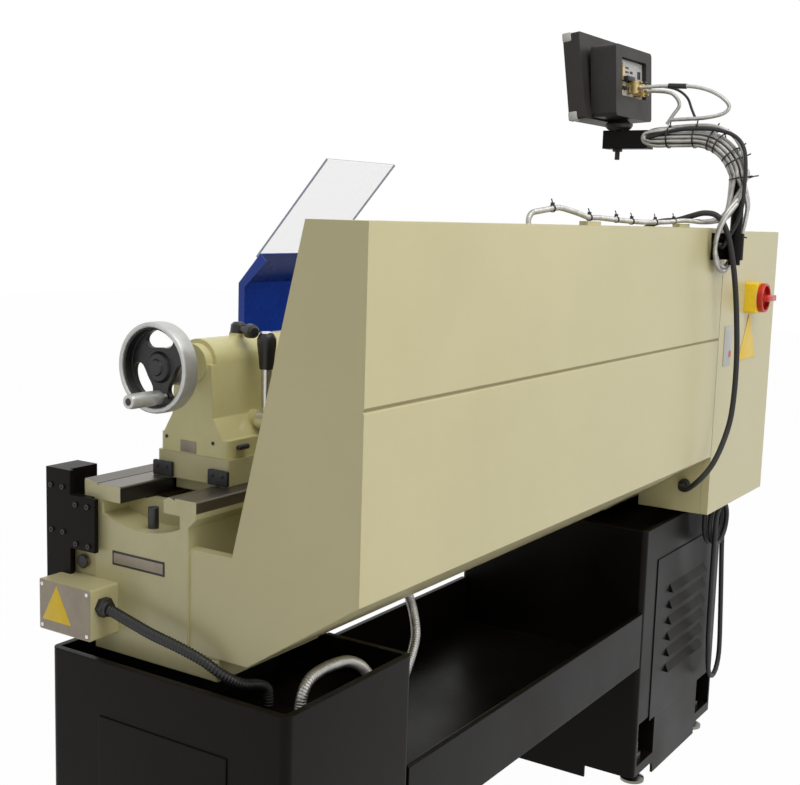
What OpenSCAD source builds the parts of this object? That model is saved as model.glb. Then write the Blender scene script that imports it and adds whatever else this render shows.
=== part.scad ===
// Engine lathe, 400 mm swing, 1000 mm between centres. X runs along the spindle, headstock at -X,
// the operator stands at -Y, Z is up and the floor is at zero.

/* [Machine] */
// Height of the bed ways above the floor
way_h = 940; // [900:5:980]
// Height of the spindle axis above the ways
centre_h = 200; // [190:1:215]
// Distance of the spindle axis in front of the middle of the machine
axis_front = 44; // [30:1:60]
// Distance from the middle of the machine to the tail end of the bed
bed_tail = 964; // [940:1:990]
// Length of the bed
bed_l = 1830; // [1800:5:1870]
// Gap between sliding faces
slide_gap = 0.3; // [0.3:0.05:0.5]
// Radial clearance of a shaft in its bore
shaft_gap = 0.05; // [0.02:0.01:0.08]

/* [Bed] */
// Front way edge in front of the spindle axis
way_front = 135; // [130:1:140]
// Rear way edge behind the spindle axis
way_back = 113; // [108:1:118]
// Width of the front way rail
rail_w = 82; // [76:1:86]
// Width of the rear way rail
rear_rail_w = 69; // [65:1:73]
// Thickness of the way rails
rail_t = 28; // [24:1:32]
// Depth of the outer relief groove in each way
way_groove = 3; // [2:0.5:4]
// Rise of the guiding way above the flat way
way_rise = 5; // [3:0.5:8]
// Web thickness of the bed
web_t = 18; // [14:1:22]
// Distance of the webs inside the way edges, front
web_in_front = 24; // [20:1:28]
// Distance of the webs inside the way edges, rear
web_in_back = 16; // [12:1:20]
// Number of cross ribs
rib_n = 9; // [8:1:10]
// Thickness of a cross rib
rib_t = 24; // [18:1:30]
// Length of the bed foot at the tail end
foot_l = 264; // [240:2:280]
// Thickness of the bed feet
foot_t = 32; // [26:1:38]
// Module of the rack teeth
rack_m = 4; // [3:0.5:5]

/* [Stand] */
// Height of the stand rim
rim_h = 660; // [640:2:680]
// Front of the stand before the spindle axis
stand_front = 165; // [160:1:175]
// Back of the stand behind the spindle axis
stand_back = 339; // [325:1:350]
// Tail pedestal length
tail_ped_l = 343; // [330:1:360]
// Head pedestal length
head_ped_l = 559; // [540:1:580]
// Sheet thickness of the stand
stand_t = 6; // [4:0.5:8]
// Width of the folded rim
rim_w = 12; // [8:1:16]
// Corner radius of the stand
stand_r = 14; // [8:1:20]
// Depth of the tray in the tail pedestal
tray_d = 60; // [50:1:70]
// Height of the trough rim between the pedestals
trough_top_h = 457; // [440:1:475]
// Height of the trough's lower edge
trough_low_h = 322; // [305:1:335]
// Height of the stand's skirt above the floor
skirt_h = 5; // [4:0.5:8]
// Height of the corner notches in the skirt
notch_h = 35; // [30:1:42]
// Width of the corner notches
notch_w = 130; // [120:1:140]
// Width of a levelling pocket
pocket_w = 106; // [96:1:114]
// Height of a levelling pocket
pocket_h = 110; // [100:1:120]
// Thickness of the lug under a pocket
lug_t = 25; // [20:1:28]
// Radius of a levelling foot
pad_r = 30; // [26:1:34]
// Radius of a levelling screw
level_r = 10; // [8:0.5:12]

/* [Guard and cabinet] */
// Guard top above the ways
guard_over = 445; // [430:1:460]
// Height of the guard's back wall
guard_h = 555; // [540:1:570]
// Distance from the guard's top to its crease
crease_d = 263; // [250:1:275]
// Back face of the guard behind the spindle axis
guard_back = 424; // [412:1:436]
// Sheet thickness of the guard
guard_t = 3; // [2:0.5:4]
// Depth of the guard's top flange
guard_top_d = 110; // [100:1:120]
// Width of the electrical cabinet
cab_w = 430; // [415:1:445]
// Depth of the electrical cabinet behind its door
cab_d = 161; // [150:1:172]
// Height of the electrical cabinet
cab_h = 695; // [680:1:710]
// Depth of the cabinet door
door_d = 20; // [16:1:24]
// Wall of the cabinet
cab_t = 2.5; // [2:0.5:3]

/* [Headstock] */
// Length of the headstock
head_l = 400; // [390:2:410]
// Headstock front before the spindle axis
head_front = 231; // [225:1:240]
// Headstock back behind the spindle axis
head_back = 234; // [226:1:238]
// Headstock top above the spindle axis
head_over = 170; // [160:1:180]
// Outer radius of the spindle
spindle_r = 52; // [50:0.5:54]
// Radius of the spindle bore
bore_r = 40; // [38:0.5:42]
// Radius of the chuck
chuck_r = 125; // [115:1:135]
// Length of the chuck body
chuck_l = 95; // [88:1:102]
// Width of a chuck jaw
jaw_w = 26; // [22:1:30]
// Radius of the jaw tips at rest
jaw_tip_r = 30; // [26:1:36]
// Depth of the end cover
cover_d = 95; // [90:1:110]
// Radius of the input pulley
pulley_r = 88; // [80:1:92]
// Radius of the motor pulley
motor_pulley_r = 45; // [40:1:50]
// Radius of the motor
motor_r = 100; // [90:1:108]
// Motor axis behind the spindle axis
motor_back = 124; // [118:1:130]
// Height of the motor axis above the floor
motor_z = 300; // [290:2:310]
// Length of the motor
motor_l = 300; // [280:5:320]
// Gear module of the change gears
gear_m = 2.5; // [2.4:0.1:2.6]
// Teeth of the output gear
out_teeth = 40; // [36:1:42]
// Teeth of the gearbox gear
box_teeth = 60; // [56:1:62]
// Depth of the feed gearbox before the headstock front
box_out = 60; // [50:1:70]

/* [Rods] */
// Distance of the rods before the spindle axis
rod_front = 136; // [134:1:138]
// Leadscrew depth under the ways
screw_down = 74; // [70:1:78]
// Feed rod depth under the ways
feed_down = 138; // [132:1:142]
// Control rod depth under the ways
control_down = 190; // [184:1:194]
// Leadscrew radius
screw_r = 14; // [13:0.5:15]
// Feed rod radius
feed_r = 10; // [9:0.5:11]
// Control rod radius
control_r = 9; // [8:0.5:10]

/* [Carriage] */
// Length of the saddle
saddle_l = 400; // [380:2:420]
// Gap between saddle and tailstock
carriage_gap = 90; // [88:1:100]
// Thickness of the saddle wings
wing_t = 30; // [26:1:32]
// Width of the cross slide
cross_w = 140; // [130:1:150]
// Length of the cross slide
cross_l = 280; // [270:1:290]
// Thickness of the cross slide
cross_t = 40; // [36:1:42]
// Radius of the compound base
compound_r = 64; // [60:1:68]
// Thickness of the compound base
compound_t = 30; // [26:1:32]
// Width of the top slide
top_w = 84; // [78:1:90]
// Length of the top slide
top_l = 190; // [180:1:200]
// Thickness of the top slide
top_t = 38; // [34:1:40]
// Side of the square tool post
post_w = 90; // [84:1:96]
// Height of the tool post
post_h = 78; // [74:1:84]
// Length of the apron
apron_l = 300; // [290:2:310]
// Apron front before the rods
apron_out = 116; // [110:1:122]
// Height of the apron
apron_h = 232; // [226:1:240]
// Width of the carriage shield
shield_w = 236; // [226:1:246]
// Height of the shield's upright part
shield_h = 275; // [265:1:285]

/* [Tailstock] */
// Distance of the tailstock from the bed end
tail_in = 114; // [110:1:120]
// Length of the tailstock base
tail_l = 240; // [230:1:250]
// Width of the tailstock base
tail_w = 160; // [150:1:170]
// Height of the lower base
base_h = 45; // [40:1:50]
// Height of the upper base
body_base_h = 31; // [26:1:36]
// Width of the tailstock neck
neck_w = 90; // [82:1:98]
// Radius of the tailstock barrel
barrel_r = 40; // [37:1:43]
// Radius of the quill
quill_r = 25; // [22:0.5:27]
// Outer radius of the tailstock handwheel
wheel_r = 68; // [62:1:74]

/* [Readout] */
// Width of the readout housing
dro_w = 220; // [210:1:230]
// Height of the readout housing
dro_h = 167; // [160:1:176]
// Depth of the readout housing
dro_d = 65; // [60:1:70]
// Width of the readout bezel
bezel_w = 290; // [280:1:300]
// Height of the readout bezel
bezel_h = 203; // [194:1:212]
// Depth of the readout bezel
bezel_d = 42; // [38:1:46]
// Radius of the readout post
arm_r = 14; // [12:0.5:16]
// Bend radius of the readout post
arm_bend = 110; // [100:1:120]
// Height of the readout arm above the guard
arm_over = 206; // [196:1:216]

/* [Hidden] */
$fn = 48;
cream = [0.80, 0.77, 0.64];
black = [0.13, 0.12, 0.11];
steel = [0.66, 0.66, 0.66];
over = 1; // overrun of a cut

// Main planes
motor_foot_t = 10;
pedal_pin_r = 8;
axis_y = -axis_front;
axis_z = way_h + centre_h;
bed_x1 = bed_tail;
bed_x0 = bed_tail - bed_l;
way_y0 = axis_y - way_front;
way_y1 = axis_y + way_back;
web_y0 = way_y0 + web_in_front;
web_y1 = way_y1 - web_in_back;
seat_down = 2; // bed seat under the stand's rim
seat_h = rim_h - seat_down;
head_hang = 54; // headstock past the bed's end
head_x0 = bed_x0 - head_hang;
head_x1 = head_x0 + head_l;
head_y0 = axis_y - head_front;
head_y1 = axis_y + head_back;
head_z1 = axis_z + head_over;
guard_in = 4; // guard's end inside the bed's end
guard_lap = 20; // guard past the headstock's face
guard_x1 = bed_x1 - guard_in;
guard_x0 = head_x1 - guard_lap;
guard_y = axis_y + guard_back;
guard_z1 = way_h + guard_over;
guard_z0 = guard_z1 - guard_h;
stand_lip = 50; // stand past the bed's end
stand_head_lip = 8; // stand past the headstock's end
stand_x1 = bed_x1 + stand_lip;
stand_x0 = head_x0 - stand_head_lip;
stand_y0 = axis_y - stand_front;
stand_y1 = axis_y + stand_back;
tail_ped_x = stand_x1 - tail_ped_l;
head_ped_x = stand_x0 + head_ped_l;
rod_y = axis_y - rod_front;
screw_z = way_h - screw_down;
feed_z = way_h - feed_down;
control_z = way_h - control_down;
tail_x1 = bed_x1 - tail_in;
tail_x0 = tail_x1 - tail_l;
saddle_x1 = tail_x0 - carriage_gap;
saddle_x0 = saddle_x1 - saddle_l;
saddle_x = (saddle_x0 + saddle_x1) / 2;
motor_in = 60; // motor's end inside the stand
motor_x0 = stand_x0 + motor_in;
motor_x1 = motor_x0 + motor_l;
pedal_in = 60; // pedal hinge behind the stand's front
pedal_y = stand_y0 + pedal_in;
pedal_z = notch_h + lug_t + pocket_h + 2 * stand_t;

module span(lo, hi) translate(lo) cube(hi - lo);
module rod_x(r, x0, x1, y, z) translate([x0, y, z]) rotate([0, 90, 0]) cylinder(r = r, h = x1 - x0);
module rod_y(r, y0, y1, x, z) translate([x, y0, z]) rotate([-90, 0, 0]) cylinder(r = r, h = y1 - y0);
module rod_z(r, z0, z1, x, y) translate([x, y, z0]) cylinder(r = r, h = z1 - z0);
// Outlines in (y, z), (x, z) and (x, y), drawn out along the third axis
module along_x(x0, x1) translate([x0, 0, 0]) rotate([90, 0, 90]) linear_extrude(x1 - x0) children();
module along_y(y0, y1) translate([0, y1, 0]) rotate([90, 0, 0]) linear_extrude(y1 - y0) children();
module along_z(z0, z1) translate([0, 0, z0]) linear_extrude(z1 - z0) children();
// A revolved outline of (radius, length) points with its axis along X or Y
module turned_x(x, y, z, pts) translate([x, y, z]) rotate([0, 90, 0]) rotate_extrude() polygon(pts);
module turned_y(x, y, z, pts) translate([x, y, z]) rotate([-90, 0, 0]) rotate_extrude() polygon(pts);
module turned_z(x, y, z, pts) translate([x, y, z]) rotate_extrude() polygon(pts);
module round_rect(lo, hi, r) {
    translate([lo.x + r, lo.y]) square([hi.x - lo.x - 2 * r, hi.y - lo.y]);
    translate([lo.x, lo.y + r]) square([hi.x - lo.x, hi.y - lo.y - 2 * r]);
    for (x = [lo.x + r, hi.x - r], y = [lo.y + r, hi.y - r]) translate([x, y]) circle(r);
}

// Tubes swept along a route: a Catmull-Rom curve through the points, carried frames, flat ends
function unit(v) = v / norm(v);
function spot(a, b, c, d, t) = 0.5 * (2 * b + (c - a) * t + (2 * a - 5 * b + 4 * c - d) * t * t
    + (3 * b - a - 3 * c + d) * t * t * t);
function curve(p, n) = [for (i = [0:len(p) - 2]) for (k = [0:n - 1])
    spot(p[max(i - 1, 0)], p[i], p[i + 1], p[min(i + 2, len(p) - 1)], k / n), p[len(p) - 1]];
function heading(p) = [for (i = [0:len(p) - 1]) unit(p[min(i + 1, len(p) - 1)] - p[max(i - 1, 0)])];
function side_of(t, u) = unit(u - (u * t) * t);
function sides(t) = [for (i = 0, u = side_of(t[0], abs(t[0].z) > 0.8 ? [1, 0, 0] : [0, 0, 1]); i < len(t);
    i = i + 1, u = side_of(t[min(i, len(t) - 1)], u)) u];
function ring(c, t, u, r, n) = [for (k = [0:n - 1]) c + r * (cos(360 * k / n) * u + sin(360 * k / n) * cross(t, u))];
function band(a, b, n) = [for (k = [0:n - 1]) each [[a + k, b + k, b + (k + 1) % n], [a + k, b + (k + 1) % n, a + (k + 1) % n]]];
function flip(f) = [for (t = f) [t[2], t[1], t[0]]];
// radii holds one radius for each point of the path; bore is 0 or the bore's radius
module tube(path, radii, n = 8, bore = 0, skip = 6) {
    m = len(path);
    t = heading(path);
    u = sides(t);
    outer = [for (i = [0:m - 1]) each ring(path[i], t[i], u[i], radii[i], n)];
    picks = [for (i = [0:skip:m - 2]) i, m - 1];
    inner = bore == 0 ? [] : [for (i = picks) each ring(path[i], t[i], u[i], bore, n)];
    side_faces = [for (i = [0:m - 2]) each band(i * n, (i + 1) * n, n)];
    base = m * n;
    last = base + (len(picks) - 1) * n;
    caps = bore == 0 ? [for (k = [1:n - 2]) each [[0, k, k + 1], [(m - 1) * n, (m - 1) * n + k + 1, (m - 1) * n + k]]]
        : concat(flip(band(0, base, n)), band((m - 1) * n, last, n),
            [for (j = [0:len(picks) - 2]) each flip(band(base + j * n, base + (j + 1) * n, n))]);
    polyhedron(concat(outer, inner), concat(side_faces, caps), convexity = 6);
}
function along(p, i = 0, s = [0]) = i >= len(p) - 1 ? s : along(p, i + 1, concat(s, s[i] + norm(p[i + 1] - p[i])));
function length_of(p) = len(p) < 2 ? 0 : let(s = [for (i = [1:len(p) - 1]) norm(p[i] - p[i - 1])]) s * [for (v = s) 1];

// Stand: two pedestals with a sunk tray on each, and a chip trough between them
tray_floor_t = 8;
head_tray_share = 0.5;
motor_y = axis_y + motor_back;
shaft_hole_r = 34;
trough_floor_h = trough_low_h + 18;
pocket_d = 60;
notch_r = 18;
seat_in = 30;
access_w = 240;
access_z0 = 150;
access_h = 400;
shelf_z = motor_z - motor_r - motor_foot_t;
module pedestal(x0, x1, floor_h) difference() {
    along_z(skirt_h, rim_h) round_rect([x0, stand_y0], [x1, stand_y1], stand_r);
    span([x0 + stand_t, stand_y0 + stand_t, 0], [x1 - stand_t, stand_y1 - stand_t, floor_h - tray_floor_t]);
    span([x0 + rim_w, stand_y0 + rim_w, floor_h], [x1 - rim_w, stand_y1 - rim_w, rim_h + over]);
}
// Levelling pockets: x centres, and y centres at the front and the back
level_xs = [for (p = [[stand_x0, head_ped_x], [tail_ped_x, stand_x1]])
    each [p[0] + stand_r + stand_t + pocket_w / 2, p[1] - stand_r - stand_t - pocket_w / 2]];
level_ys = [stand_y0 + pocket_d / 2, stand_y1 - pocket_d / 2];
module pocket_block(x, y) {
    half = pocket_w / 2 + stand_t;
    inner = y < axis_y ? [y - pocket_d / 2 + stand_t / 2, y + pocket_d / 2 + stand_t]
        : [y - pocket_d / 2 - stand_t, y + pocket_d / 2 - stand_t / 2];
    span([x - half, inner[0], notch_h], [x + half, inner[1], notch_h + lug_t + pocket_h + stand_t]);
}
module pocket_cut(x, y) {
    out = y < axis_y ? -over : over;
    span([x - pocket_w / 2, y - pocket_d / 2 + min(out, 0), notch_h + lug_t],
        [x + pocket_w / 2, y + pocket_d / 2 + max(out, 0), notch_h + lug_t + pocket_h]);
    rod_z(level_r + slide_gap, 0, notch_h + lug_t + over, x, y);
}
// The skirt is notched at each corner; the notch ends in a round
module notch_cut(x0, x1, inner_x) {
    for (y = [[stand_y0 - over, stand_y0 + notch_w], [stand_y1 - notch_w, stand_y1 + over]]) {
        span([x0, y[0], 0], [x1, y[1], notch_h - notch_r]);
        span([x0 + (inner_x < x1 ? notch_r : 0), y[0], 0], [x1 - (inner_x < x1 ? 0 : notch_r), y[1], notch_h]);
        rod_y(notch_r, y[0], y[1], inner_x < x1 ? x0 + notch_r : x1 - notch_r, notch_h - notch_r);
    }
}
module stand_base() color(black) difference() {
    union() {
        pedestal(tail_ped_x, stand_x1, rim_h - tray_d);
        pedestal(stand_x0, head_ped_x, rim_h - tray_d * head_tray_share);
        for (x = level_xs, y = level_ys) pocket_block(x, y);
        // seats that carry the bed's feet, and the shelf under the motor
        span([bed_x1 - foot_l + seat_in, web_y0, rim_h - tray_d - over], [bed_x1 - seat_in, web_y1, seat_h]);
        span([bed_x0 + seat_in, web_y0, rim_h - tray_d * head_tray_share - over], [head_x1 - seat_in, web_y1, seat_h]);
        span([motor_x0, stand_y0 + stand_t / 2, shelf_z - stand_t], [motor_x1, stand_y1 - stand_t / 2, shelf_z]);
        difference() {
            span([head_ped_x - over, stand_y0, trough_low_h], [tail_ped_x + over, stand_y1, trough_top_h]);
            span([head_ped_x, stand_y0 + rim_w, trough_floor_h], [tail_ped_x, stand_y1 - rim_w, trough_top_h + over]);
            span([head_ped_x, stand_y0 + stand_t, 0], [tail_ped_x, stand_y1 - stand_t, trough_floor_h - tray_floor_t]);
        }
    }
    for (x = level_xs, y = level_ys) pocket_cut(x, y);
    for (x = [stand_x0, tail_ped_x]) notch_cut(x - over, x + notch_w, x + notch_w);
    for (x = [head_ped_x, stand_x1]) notch_cut(x - notch_w, x + over, x - notch_w);
    rod_x(shaft_hole_r, stand_x0 - over, stand_x0 + stand_t + over, motor_y, motor_z);
    // the bed crosses the rims
    span([bed_x0 - over, web_y0 - over, seat_h], [bed_x1 + over, web_y1 + foot_back + over, rim_h + over]);
    mid = (stand_y0 + stand_y1) / 2;
    span([stand_x1 - stand_t - over, mid - access_w / 2, access_z0 + rim_w],
        [stand_x1 + over, mid + access_w / 2, access_z0 + access_h]);
    span([vent_x0 + rim_w, stand_y1 - stand_t - over, vent_z0 + rim_w],
        [vent_x0 + vent_w - rim_w, stand_y1 + over, vent_z0 + vent_h - rim_w]);
    for (x = [head_ped_x + over, tail_ped_x - over])
        rod_x(pedal_pin_r + slide_gap, x - stand_t - 2 * over, x + stand_t + 2 * over, pedal_y, pedal_z);
}

// Access panel on the tail end and louvred panel on the back
panel_t = 2;
panel_gap = 0.2;
panel_w = 275;
panel_over = 17;
vent_x0 = stand_x0 + 50;
vent_w = 425;
vent_z0 = 159;
vent_h = 415;
louvre_n = 6;
louvre_l = 250;
louvre_pitch = 42;
louvre_h = 12;
louvre_low = 102;
module stand_panels() color(black) {
    mid = (stand_y0 + stand_y1) / 2;
    along_x(stand_x1 + panel_gap, stand_x1 + panel_gap + panel_t)
        round_rect([mid - panel_w / 2, access_z0], [mid + panel_w / 2, access_z0 + access_h + panel_over], panel_t);
    difference() {
        union() {
            along_y(stand_y1 + panel_gap, stand_y1 + panel_gap + panel_t)
                round_rect([vent_x0, vent_z0], [vent_x0 + vent_w, vent_z0 + vent_h], panel_t);
            for (i = [0:louvre_n - 1]) louvre(i, 0);
        }
        for (i = [0:louvre_n - 1]) louvre(i, panel_t / 2);
    }
}
// A louvre is a hood open at its foot; an inset above 0 gives the space inside it
module louvre(i, inset) {
    x0 = vent_x0 + (vent_w - louvre_l) / 2;
    z0 = vent_z0 + louvre_low + i * louvre_pitch;
    y0 = stand_y1 + panel_gap;
    tall = 2 * louvre_h;
    low = inset > 0 ? over : 0;
    along_x(x0 + inset, x0 + louvre_l - inset) polygon([[y0 - low, z0 - low], [y0 + louvre_h - inset, z0 - low],
        [y0 + louvre_h - inset, z0], [y0 + panel_t / 2, z0 + tall - 2 * inset], [y0 - low, z0 + tall - 2 * inset]]);
}

// Levelling feet: pad, screw and lock nut at each pocket
pad_t = 14;
nut_r = 17;
nut_t = 14;
level_top = 100;
module leveling_feet() color(steel) for (x = level_xs, y = level_ys) {
    turned_z(x, y, 0, [[0, 0], [pad_r, 0], [pad_r, pad_t / 2], [level_r + pad_t / 2, pad_t], [level_r, pad_t],
        [level_r, level_top], [0, level_top]]);
    translate([x, y, notch_h + lug_t]) cylinder(r = nut_r, h = nut_t, $fn = 6);
}

// Bed: two ways on webs, cross ribs between open chip bays, feet and rack
relief_w = 2;
raised_w = 30;
lobe_w = 20;
end_recess_l = 60;
end_recess_r = 220;
end_recess_drop = 66;
foot_back = 63;
way_edge = 2;
// The way surfaces; a gap above 0 gives the outline that a sliding piece keeps clear of
module ways_outline(gap) polygon([[way_y0 - gap, way_h - rail_t], [way_y0 - gap, way_h + way_rise + gap],
    [way_y0 + way_edge, way_h + way_rise + gap], [way_y0 + raised_w + gap, way_h + gap],
    [way_y1 + gap, way_h + gap], [way_y1 + gap, way_h - rail_t]]);
module bed_outline() polygon([[web_y0, seat_h], [web_y1, seat_h], [web_y1, way_h - rail_t - web_in_back],
    [way_y1, way_h - rail_t], [way_y1, way_h - way_edge], [way_y1 - way_edge, way_h],
    [way_y1 - rear_rail_w + lobe_w + 2 * relief_w, way_h],
    [way_y1 - rear_rail_w + lobe_w + 2 * relief_w, way_h - way_groove],
    [way_y1 - rear_rail_w + lobe_w + relief_w, way_h - way_groove],
    [way_y1 - rear_rail_w + lobe_w, way_h - way_edge], [way_y1 - rear_rail_w + lobe_w / 2, way_h],
    [way_y1 - rear_rail_w, way_h - way_edge - way_groove], [way_y1 - rear_rail_w, way_h - rail_t],
    [way_y0 + rail_w, way_h - rail_t], [way_y0 + rail_w, way_h - way_edge], [way_y0 + rail_w - way_edge, way_h],
    [way_y0 + raised_w + relief_w, way_h], [way_y0 + raised_w + relief_w, way_h - way_groove],
    [way_y0 + raised_w, way_h - way_groove], [way_y0 + raised_w, way_h], [way_y0 + way_edge, way_h + way_rise],
    [way_y0, way_h + way_rise - way_edge], [way_y0, way_h - rail_t], [web_y0, way_h - rail_t - web_in_front]]);
module bed() color(cream) {
    difference() {
        union() {
            along_x(bed_x0, bed_x1) bed_outline();
            span([bed_x1 - foot_l, web_y0, seat_h], [bed_x1, web_y1 + foot_back, seat_h + foot_t]);
            span([bed_x0, web_y0, seat_h], [head_x1, web_y1 + foot_back, seat_h + foot_t]);
        }
        bay_x0 = head_x1 + rib_t;
        bay = (bed_x1 - end_recess_l - bay_x0) / rib_n;
        for (i = [0:rib_n - 1]) span([bay_x0 + i * bay, web_y0 + web_t, seat_h - over],
            [bay_x0 + (i + 1) * bay - rib_t, web_y1 - web_t, way_h - rail_t + over]);
        // room for the tailstock's clamp shoe over the ribs
        span([bay_x0, web_y0 + web_t, way_h - rail_t - shoe_room],
            [bed_x1 - end_recess_l - rib_t, web_y1 - web_t, way_h - rail_t + over]);
        // a scoop in the tail end, under the gap between the ways
        intersection() {
            span([bed_x1 - end_recess_l, web_y0 + web_t, way_h - end_recess_drop - over],
                [bed_x1 + over, web_y1 - web_t, way_h - rail_t + over]);
            rod_x(end_recess_r, bed_x1 - end_recess_l, bed_x1 + over, (web_y0 + web_y1) / 2,
                way_h - end_recess_drop + end_recess_r);
        }
        rod_x(end_hole_r, bed_x1 - end_hole_d, bed_x1 + over, web_y0 + end_hole_in, way_h - rail_t - 2 * end_hole_d);
    }
    // stop post on the shelf at the tail end
    rod_z(end_post_r, way_h - end_recess_drop, way_h - end_recess_drop + end_post_h, bed_x1 - end_recess_l / 2,
        (web_y0 + web_y1) / 2);
    rack();
}
shoe_room = 32;
end_hole_r = 3;
end_hole_d = 4;
end_hole_in = 68;
end_post_r = 9;
end_post_h = 35;
rack_in = 40;
rack_t = 14;
tooth_shares = [0.22, 0.36, 0.64, 0.78];
module rack() {
    pitch = PI * rack_m;
    x0 = head_x1 + rack_in;
    n = floor((tail_x0 - x0) / pitch);
    z = way_h - rail_t;
    along_y(way_y0 + relief_w, way_y0 + relief_w + rack_t) polygon([[x0, z], [x0, z - 2 * rack_m],
        for (i = [0:n - 1], k = [0:3]) [x0 + (i + tooth_shares[k]) * pitch, z - (k == 0 || k == 3 ? 2 : 4) * rack_m],
        [x0 + n * pitch, z - 2 * rack_m], [x0 + n * pitch, z]]);
}

// Headstock: casing with a bolted lid, bored for the spindle, and hinge lugs for the end cover
casing_r = 14;
lid_h = 24;
lid_in = 4;
lid_groove = 3;
head_slope = 46;
input_down = 90;
input_y = axis_y + motor_back;
input_z = axis_z - input_down;
input_shaft_r = 16;
shaft_in = 60;
gear_down = 60;
gear_z = way_h - gear_down;
gear_lean = 13.9;
gear_step = gear_m * (out_teeth + box_teeth) / 2;
out_gear_y = rod_y + gear_step * sin(gear_lean);
out_gear_z = gear_z + gear_step * cos(gear_lean);
gear_shaft_r = 12;
hinge_out = 10;
hinge_r = 9;
hinge_pin_r = 5;
hinge_y = head_y0 - hinge_out;
cover_gap = 10;
cover_x1 = head_x0 - cover_gap;
cover_x0 = cover_x1 - cover_d;
hinge_x = cover_x1 + over;
hinge_l = 40;
hinge_zs = [way_h + hinge_l, head_z1 - 3 * hinge_l];
module headstock() color(cream) difference() {
    union() {
        along_x(head_x0, head_x1) {
            difference() {
                round_rect([head_y0, way_h], [head_y1, head_z1 - lid_h], casing_r);
                polygon([[head_y0 - over, head_z1 - lid_h - 2 * head_slope], [head_y0 - over, head_z1],
                    [head_y0 + head_slope, head_z1]]);
            }
        }
        // front slope and lid
        along_x(head_x0, head_x1) polygon([[head_y0, head_z1 - lid_h - 2 * head_slope],
            [head_y0 + head_slope - lid_h / 2, head_z1 - lid_h], [head_y1 - casing_r, head_z1 - lid_h],
            [head_y1 - casing_r, way_h + casing_r], [head_y0, way_h + casing_r]]);
        along_x(head_x0 + lid_in, head_x1 - lid_in)
            round_rect([head_y0 + head_slope, head_z1 - lid_h], [head_y1 - lid_in, head_z1], lid_in);
        // bearing cap round the spindle nose
        rod_x(spindle_r + 2 * casing_r, head_x1 - over, head_x1 + lid_in, axis_y, axis_z);
        for (z = hinge_zs) {
            rod_z(hinge_r, z, z + hinge_l, hinge_x, hinge_y);
            span([hinge_x, hinge_y, z], [head_x0 + over, head_y0 + casing_r, z + hinge_l]);
            rod_z(hinge_pin_r, z - hinge_l, z + over, hinge_x, hinge_y);
        }
    }
    rod_x(spindle_r + shaft_gap, head_x0 - over, head_x1 + casing_r, axis_y, axis_z);
    rod_x(input_shaft_r + shaft_gap, head_x0 - over, head_x0 + shaft_in, input_y, input_z);
    rod_x(gear_shaft_r + shaft_gap, head_x0 - over, head_x0 + shaft_in, out_gear_y, out_gear_z);
    along_x(head_x0 - over, head_x1 + over) ways_outline(0);
    for (x = lever_xs) rod_y(lever_shaft_r + shaft_gap, head_y0 - over, head_y0 + shaft_in, x, lever_z);
    rod_y(button_r + slide_gap, head_y0 - over, head_y0 + button_in, button_x, button_z);
}

// Feed gearbox under the headstock's front, bored for its input shaft and the rods
box_y0 = head_y0 - box_out;
box_z0 = way_h - apron_h - slide_gap * 20;
box_z1 = way_h - lid_in;
box_back = 24;
rod_in = 40;
dial_x = (head_x0 + head_x1) / 2;
dial_z = (box_z0 + box_z1) / 2;
dial_shaft_r = 10;
module feed_gearbox() color(cream) difference() {
    union() {
        along_z(box_z0, box_z1) round_rect([head_x0, box_y0], [head_x1, way_y0], casing_r);
        span([bed_x0 + lid_in, way_y0 - casing_r, box_z0 + lid_in], [head_x1 - lid_in, web_y0, way_h - rail_t - box_back - lid_in]);
        along_y(box_y0 - lid_groove, box_y0 + over) round_rect([head_x0 + box_back, box_z0 + box_back],
            [head_x1 - box_back, box_z1 - box_back], casing_r / 2);
    }
    rod_x(gear_shaft_r + shaft_gap, head_x0 - over, head_x0 + shaft_in, rod_y, gear_z);
    rod_x(screw_r + shaft_gap, head_x1 - rod_in, head_x1 + over, rod_y, screw_z);
    rod_x(feed_r + shaft_gap, head_x1 - rod_in, head_x1 + over, rod_y, feed_z);
    rod_x(control_r + shaft_gap, head_x1 - rod_in, head_x1 + over, rod_y, control_z);
    rod_y(dial_shaft_r + shaft_gap, box_y0 - lid_groove - over, box_y0 + shaft_in, dial_x, dial_z);
}

// End bracket that carries the three rods at the tail end
bracket_in = 64;
bracket_l = 62;
bracket_front = 26;
bracket_over = 39;
bracket_under = 15;
bracket_x0 = bed_x1 - bracket_in;
bracket_x1 = bracket_x0 + bracket_l;
bracket_z1 = screw_z + bracket_over;
bracket_z0 = control_z - bracket_under;
rod_end_in = 12;
module end_bracket() color(cream) difference() {
    along_x(bracket_x0, bracket_x1) {
        round_rect([rod_y - bracket_front, bracket_z0], [web_y0, bracket_z1], casing_r / 2);
        translate([web_y0 - casing_r, bracket_z0]) square([casing_r, bracket_z1 - bracket_z0]);
    }
    rod_x(screw_r + shaft_gap, bracket_x0 - over, bracket_x1 - rod_end_in, rod_y, screw_z);
    rod_x(feed_r + shaft_gap, bracket_x0 - over, bracket_x1 + over, rod_y, feed_z);
    rod_x(control_r + shaft_gap, bracket_x0 - over, bracket_x1 - rod_end_in, rod_y, control_z);
    along_x(bracket_x0 - over, bracket_x1 + over) bed_outline();
}

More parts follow.
